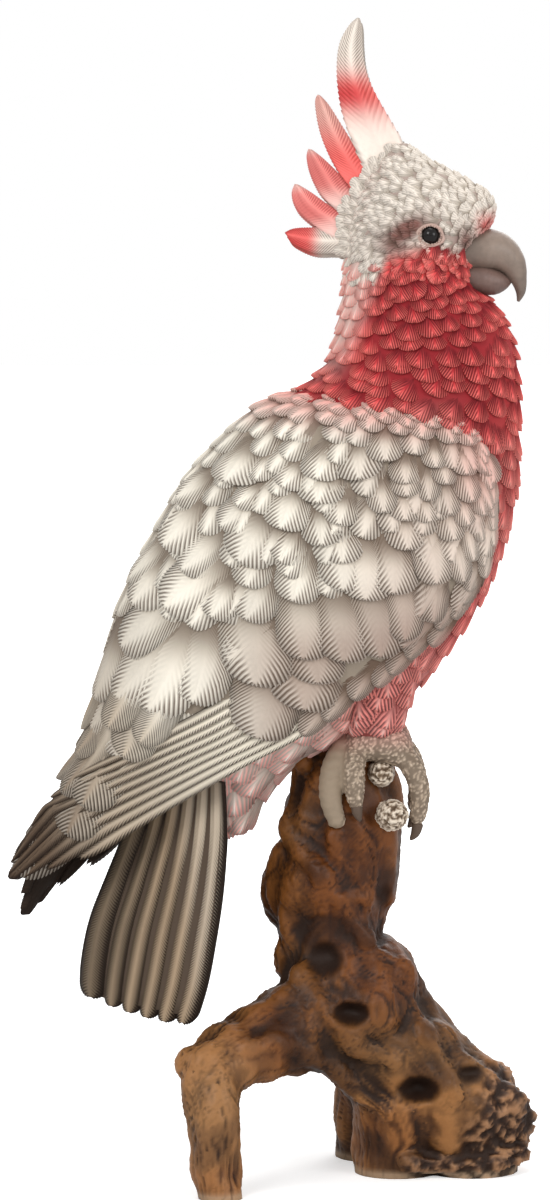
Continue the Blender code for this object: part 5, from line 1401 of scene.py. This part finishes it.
# toes, foot pads and claws: x, y, z, radius
toeLines = [
    [(22.0, -9.0, 137.0, 3.6), (17.6, -15.5, 130.0, 3.7), (16.6, -19.2, 121.0, 3.5), (18.8, -19.4, 113.0, 2.8)],
    [(25.0, -9.0, 138.0, 3.6), (23.8, -17.0, 131.0, 3.7), (24.0, -20.0, 123.5, 3.2), (24.6, -20.6, 118.4, 2.2)],
    [(33.0, -9.0, 138.0, 3.6), (40.6, -14.0, 131.4, 3.7), (44.2, -15.4, 122.4, 3.2), (43.4, -15.2, 113.4, 2.5)]]
legLine = [(24.5, -10.5, 135.5, 5.4), (31.0, -12.0, 137.5, 6.6), (38.5, -12.0, 134.5, 5.6)]
clawLines = [[(24.6, -20.4, 118.6, 1.9), (24.9, -20.9, 116.2, 1.6), (25.6, -20.6, 113.9, 0.7)],
             [(43.6, -15.0, 112.0, 1.8), (42.8, -14.8, 109.2, 1.5), (41.4, -14.6, 107.2, 0.6)]]


feetLook = {"voxel": 0.6, "grainScale": 0.95, "grain": 0.45, "folds": 0.1, "clawVoxel": 0.4,
            "grainColour": tone(206, 186, 166), "backToeColour": tone(140, 124, 104), "clawColour": tone(92, 76, 64)}


def bothSides(rows):
    return rows + [[(x, -y, z, radius) for x, y, z, radius in line] for line in rows]


def cellBumps(points, scale):  # small round grains, 0 in the gaps and 1 on top
    values = np.empty(len(points))
    for index, point in enumerate(points):
        near = noise.voronoi(Vector(point * scale))[0]
        values[index] = 1.0 - min(near[0] * 1.6, 1.0)
    return values


def buildFeet():
    lines = bothSides(toeLines) + bothSides([legLine])
    mesh = fusedMesh("feet", [tubeRings(line, 14, 5) for line in lines], feetLook["voxel"], 3)
    points, normals = meshArrays(mesh)
    backToe = smooth(21.5, 19.5, points[:, 0] - 0.05 * (points[:, 2] - 120.0))
    grains = cellBumps(points, feetLook["grainScale"])
    height = (feetLook["grain"] * (grains - 0.4)) * (1.0 - backToe * 0.9)
    folds = np.sin(points[:, 2] * 2.3 + np.sin(points[:, 0] * 1.3) * 0.8) * backToe * feetLook["folds"]
    points = points + normals * (height + folds)[:, None]
    colours = mix(paints["feet"], feetLook["grainColour"], smooth(0.35, 0.8, grains) * (1.0 - backToe))
    colours = mix(colours, feetLook["backToeColour"], backToe * 0.7)
    high = smooth(133.0, 141.0, points[:, 2])
    colours = mix(colours, paints["pink"], high * 0.5)
    washAndShade = (1.0 - smooth(0.1, 0.5, grains)) * 0.6 * (1.0 - backToe) + 0.15 * backToe
    placeMesh("feet", mesh, points, colours, washAndShade, feetPaint)
    mesh = fusedMesh("claws", [tubeRings(line, 14, 6) for line in bothSides(clawLines)], feetLook["clawVoxel"], 2)
    points = meshArrays(mesh)[0]
    placeMesh("claws", mesh, points, np.tile(feetLook["clawColour"], (len(points), 1)), np.full(len(points), 0.25),
              feetPaint)


# the cut branch stub and the knob above it
stubLine = [(32.0, -4.0, 112.5, 4.7), (33.6, -10.0, 113.8, 4.7), (35.4, -16.0, 115.0, 4.6), (36.2, -20.6, 115.6, 4.4)]
knobLine = [(32.0, -6.0, 127.0, 4.0), (32.2, -11.0, 127.4, 4.4), (32.4, -15.6, 127.6, 3.4)]
stubLook = {"voxel": 0.5, "chips": 0.75, "deepColour": tone(126, 104, 82), "chipColour": tone(222, 208, 190)}


def buildStub():
    mesh = fusedMesh("cutStub", [tubeRings(line, 16, 5) for line in (stubLine, knobLine)], stubLook["voxel"], 1)
    points, normals = meshArrays(mesh)
    rough = np.array([noise.noise(Vector(p * 0.9)) + 0.6 * noise.noise(Vector(p * 2.1)) for p in points])
    front = smooth(-12.0, -17.0, points[:, 1])
    points = points + normals * (stubLook["chips"] * rough * (0.35 + 0.65 * front))[:, None]
    colours = mix(stubLook["deepColour"], stubLook["chipColour"], smooth(-0.25, 0.35, rough))
    placeMesh("cutStub", mesh, points, colours, smooth(0.0, -0.5, rough) * 0.8, woodPaint)


# thighs from hip to foot: x, y, z, radius
thighRings = [(36.0, 9.0, 176.0, 12.2), (32.5, 10.0, 162.0, 12.6), (30.4, 10.5, 150.0, 11.0), (30.0, 11.0, 142.0, 8.6),
              (30.0, 11.0, 137.0, 4.2)]
thighLook = {"rows": (0.7, 3.65, 0.38), "spacing": 9.0, "length": 14.0, "halfWidth": 6.2, "ground": tone(160, 84, 78)}


def thighSkin(side):
    def skin(row, turn):
        row, turn = np.broadcast_arrays(np.asarray(row, float), np.asarray(turn, float))
        ring = catmull(thighRings, row)
        angle = turn * 2.0 * math.pi
        return np.stack([ring[..., 0] - np.cos(angle) * ring[..., 3],
                         side * ring[..., 1] - np.sin(angle) * ring[..., 3], ring[..., 2]], axis=-1)
    return skin


def thighPaint(points, share, chance):
    paint = breastPaint(points, share, chance)
    return mix(paint * 0.8, paints["blush"], smooth(147.0, 138.0, points[..., 2]) * 0.5)  # paler near the foot


def buildThighs():
    pattern = featherPattern(lines=26, columns=[0.0, 0.14, 0.55, 1.0], rootWidth=0.5, shoulder=0.66, blunt=2.2,
                             barbSlope=2.0, aspect=2.4, denseTip=0.8)
    store = newStore()
    for side in (-1.0, 1.0):
        skin = thighSkin(side)
        for number, row in enumerate(np.arange(*thighLook["rows"])):
            radius = catmull(thighRings, row)[3]
            count = int(2.0 * math.pi * radius / thighLook["spacing"]) + 1
            for index in range(count):
                turn = ((index + 0.5 * (number % 2)) / count + dice.normal(0.0, 0.02)) % 1.0
                heading = slopes(skin, row, turn)[0]
                half = thighLook["halfWidth"] + dice.normal(0.0, 0.4)
                layFeather(store, skin, float(row), turn, heading, pattern, thighLook["length"], half, breastLook,
                           thighPaint, dice.random(), dice.normal(0.0, 0.12), dice.normal(0.0, 0.2))
        rings = [skin(np.full(24, row), np.arange(24) / 24.0) for row in np.linspace(0.0, 4.0, 18)]
        word = "near" if side < 0 else "far"
        # the ground under the thigh feathers is darkened as painted shade
        ringsToPiece("thighGround_" + word, rings, redPaint, thighLook["ground"], 0.5)
    finishStore("thighFeathers", store, redPaint)


buildStage()
buildBreast()
buildCoverts()
buildWingBlades()
buildTail()
buildCrest()
buildBeak()
buildDriftwood()
buildGround()
buildHead()
buildEyes()
buildFeet()
buildStub()
buildThighs()
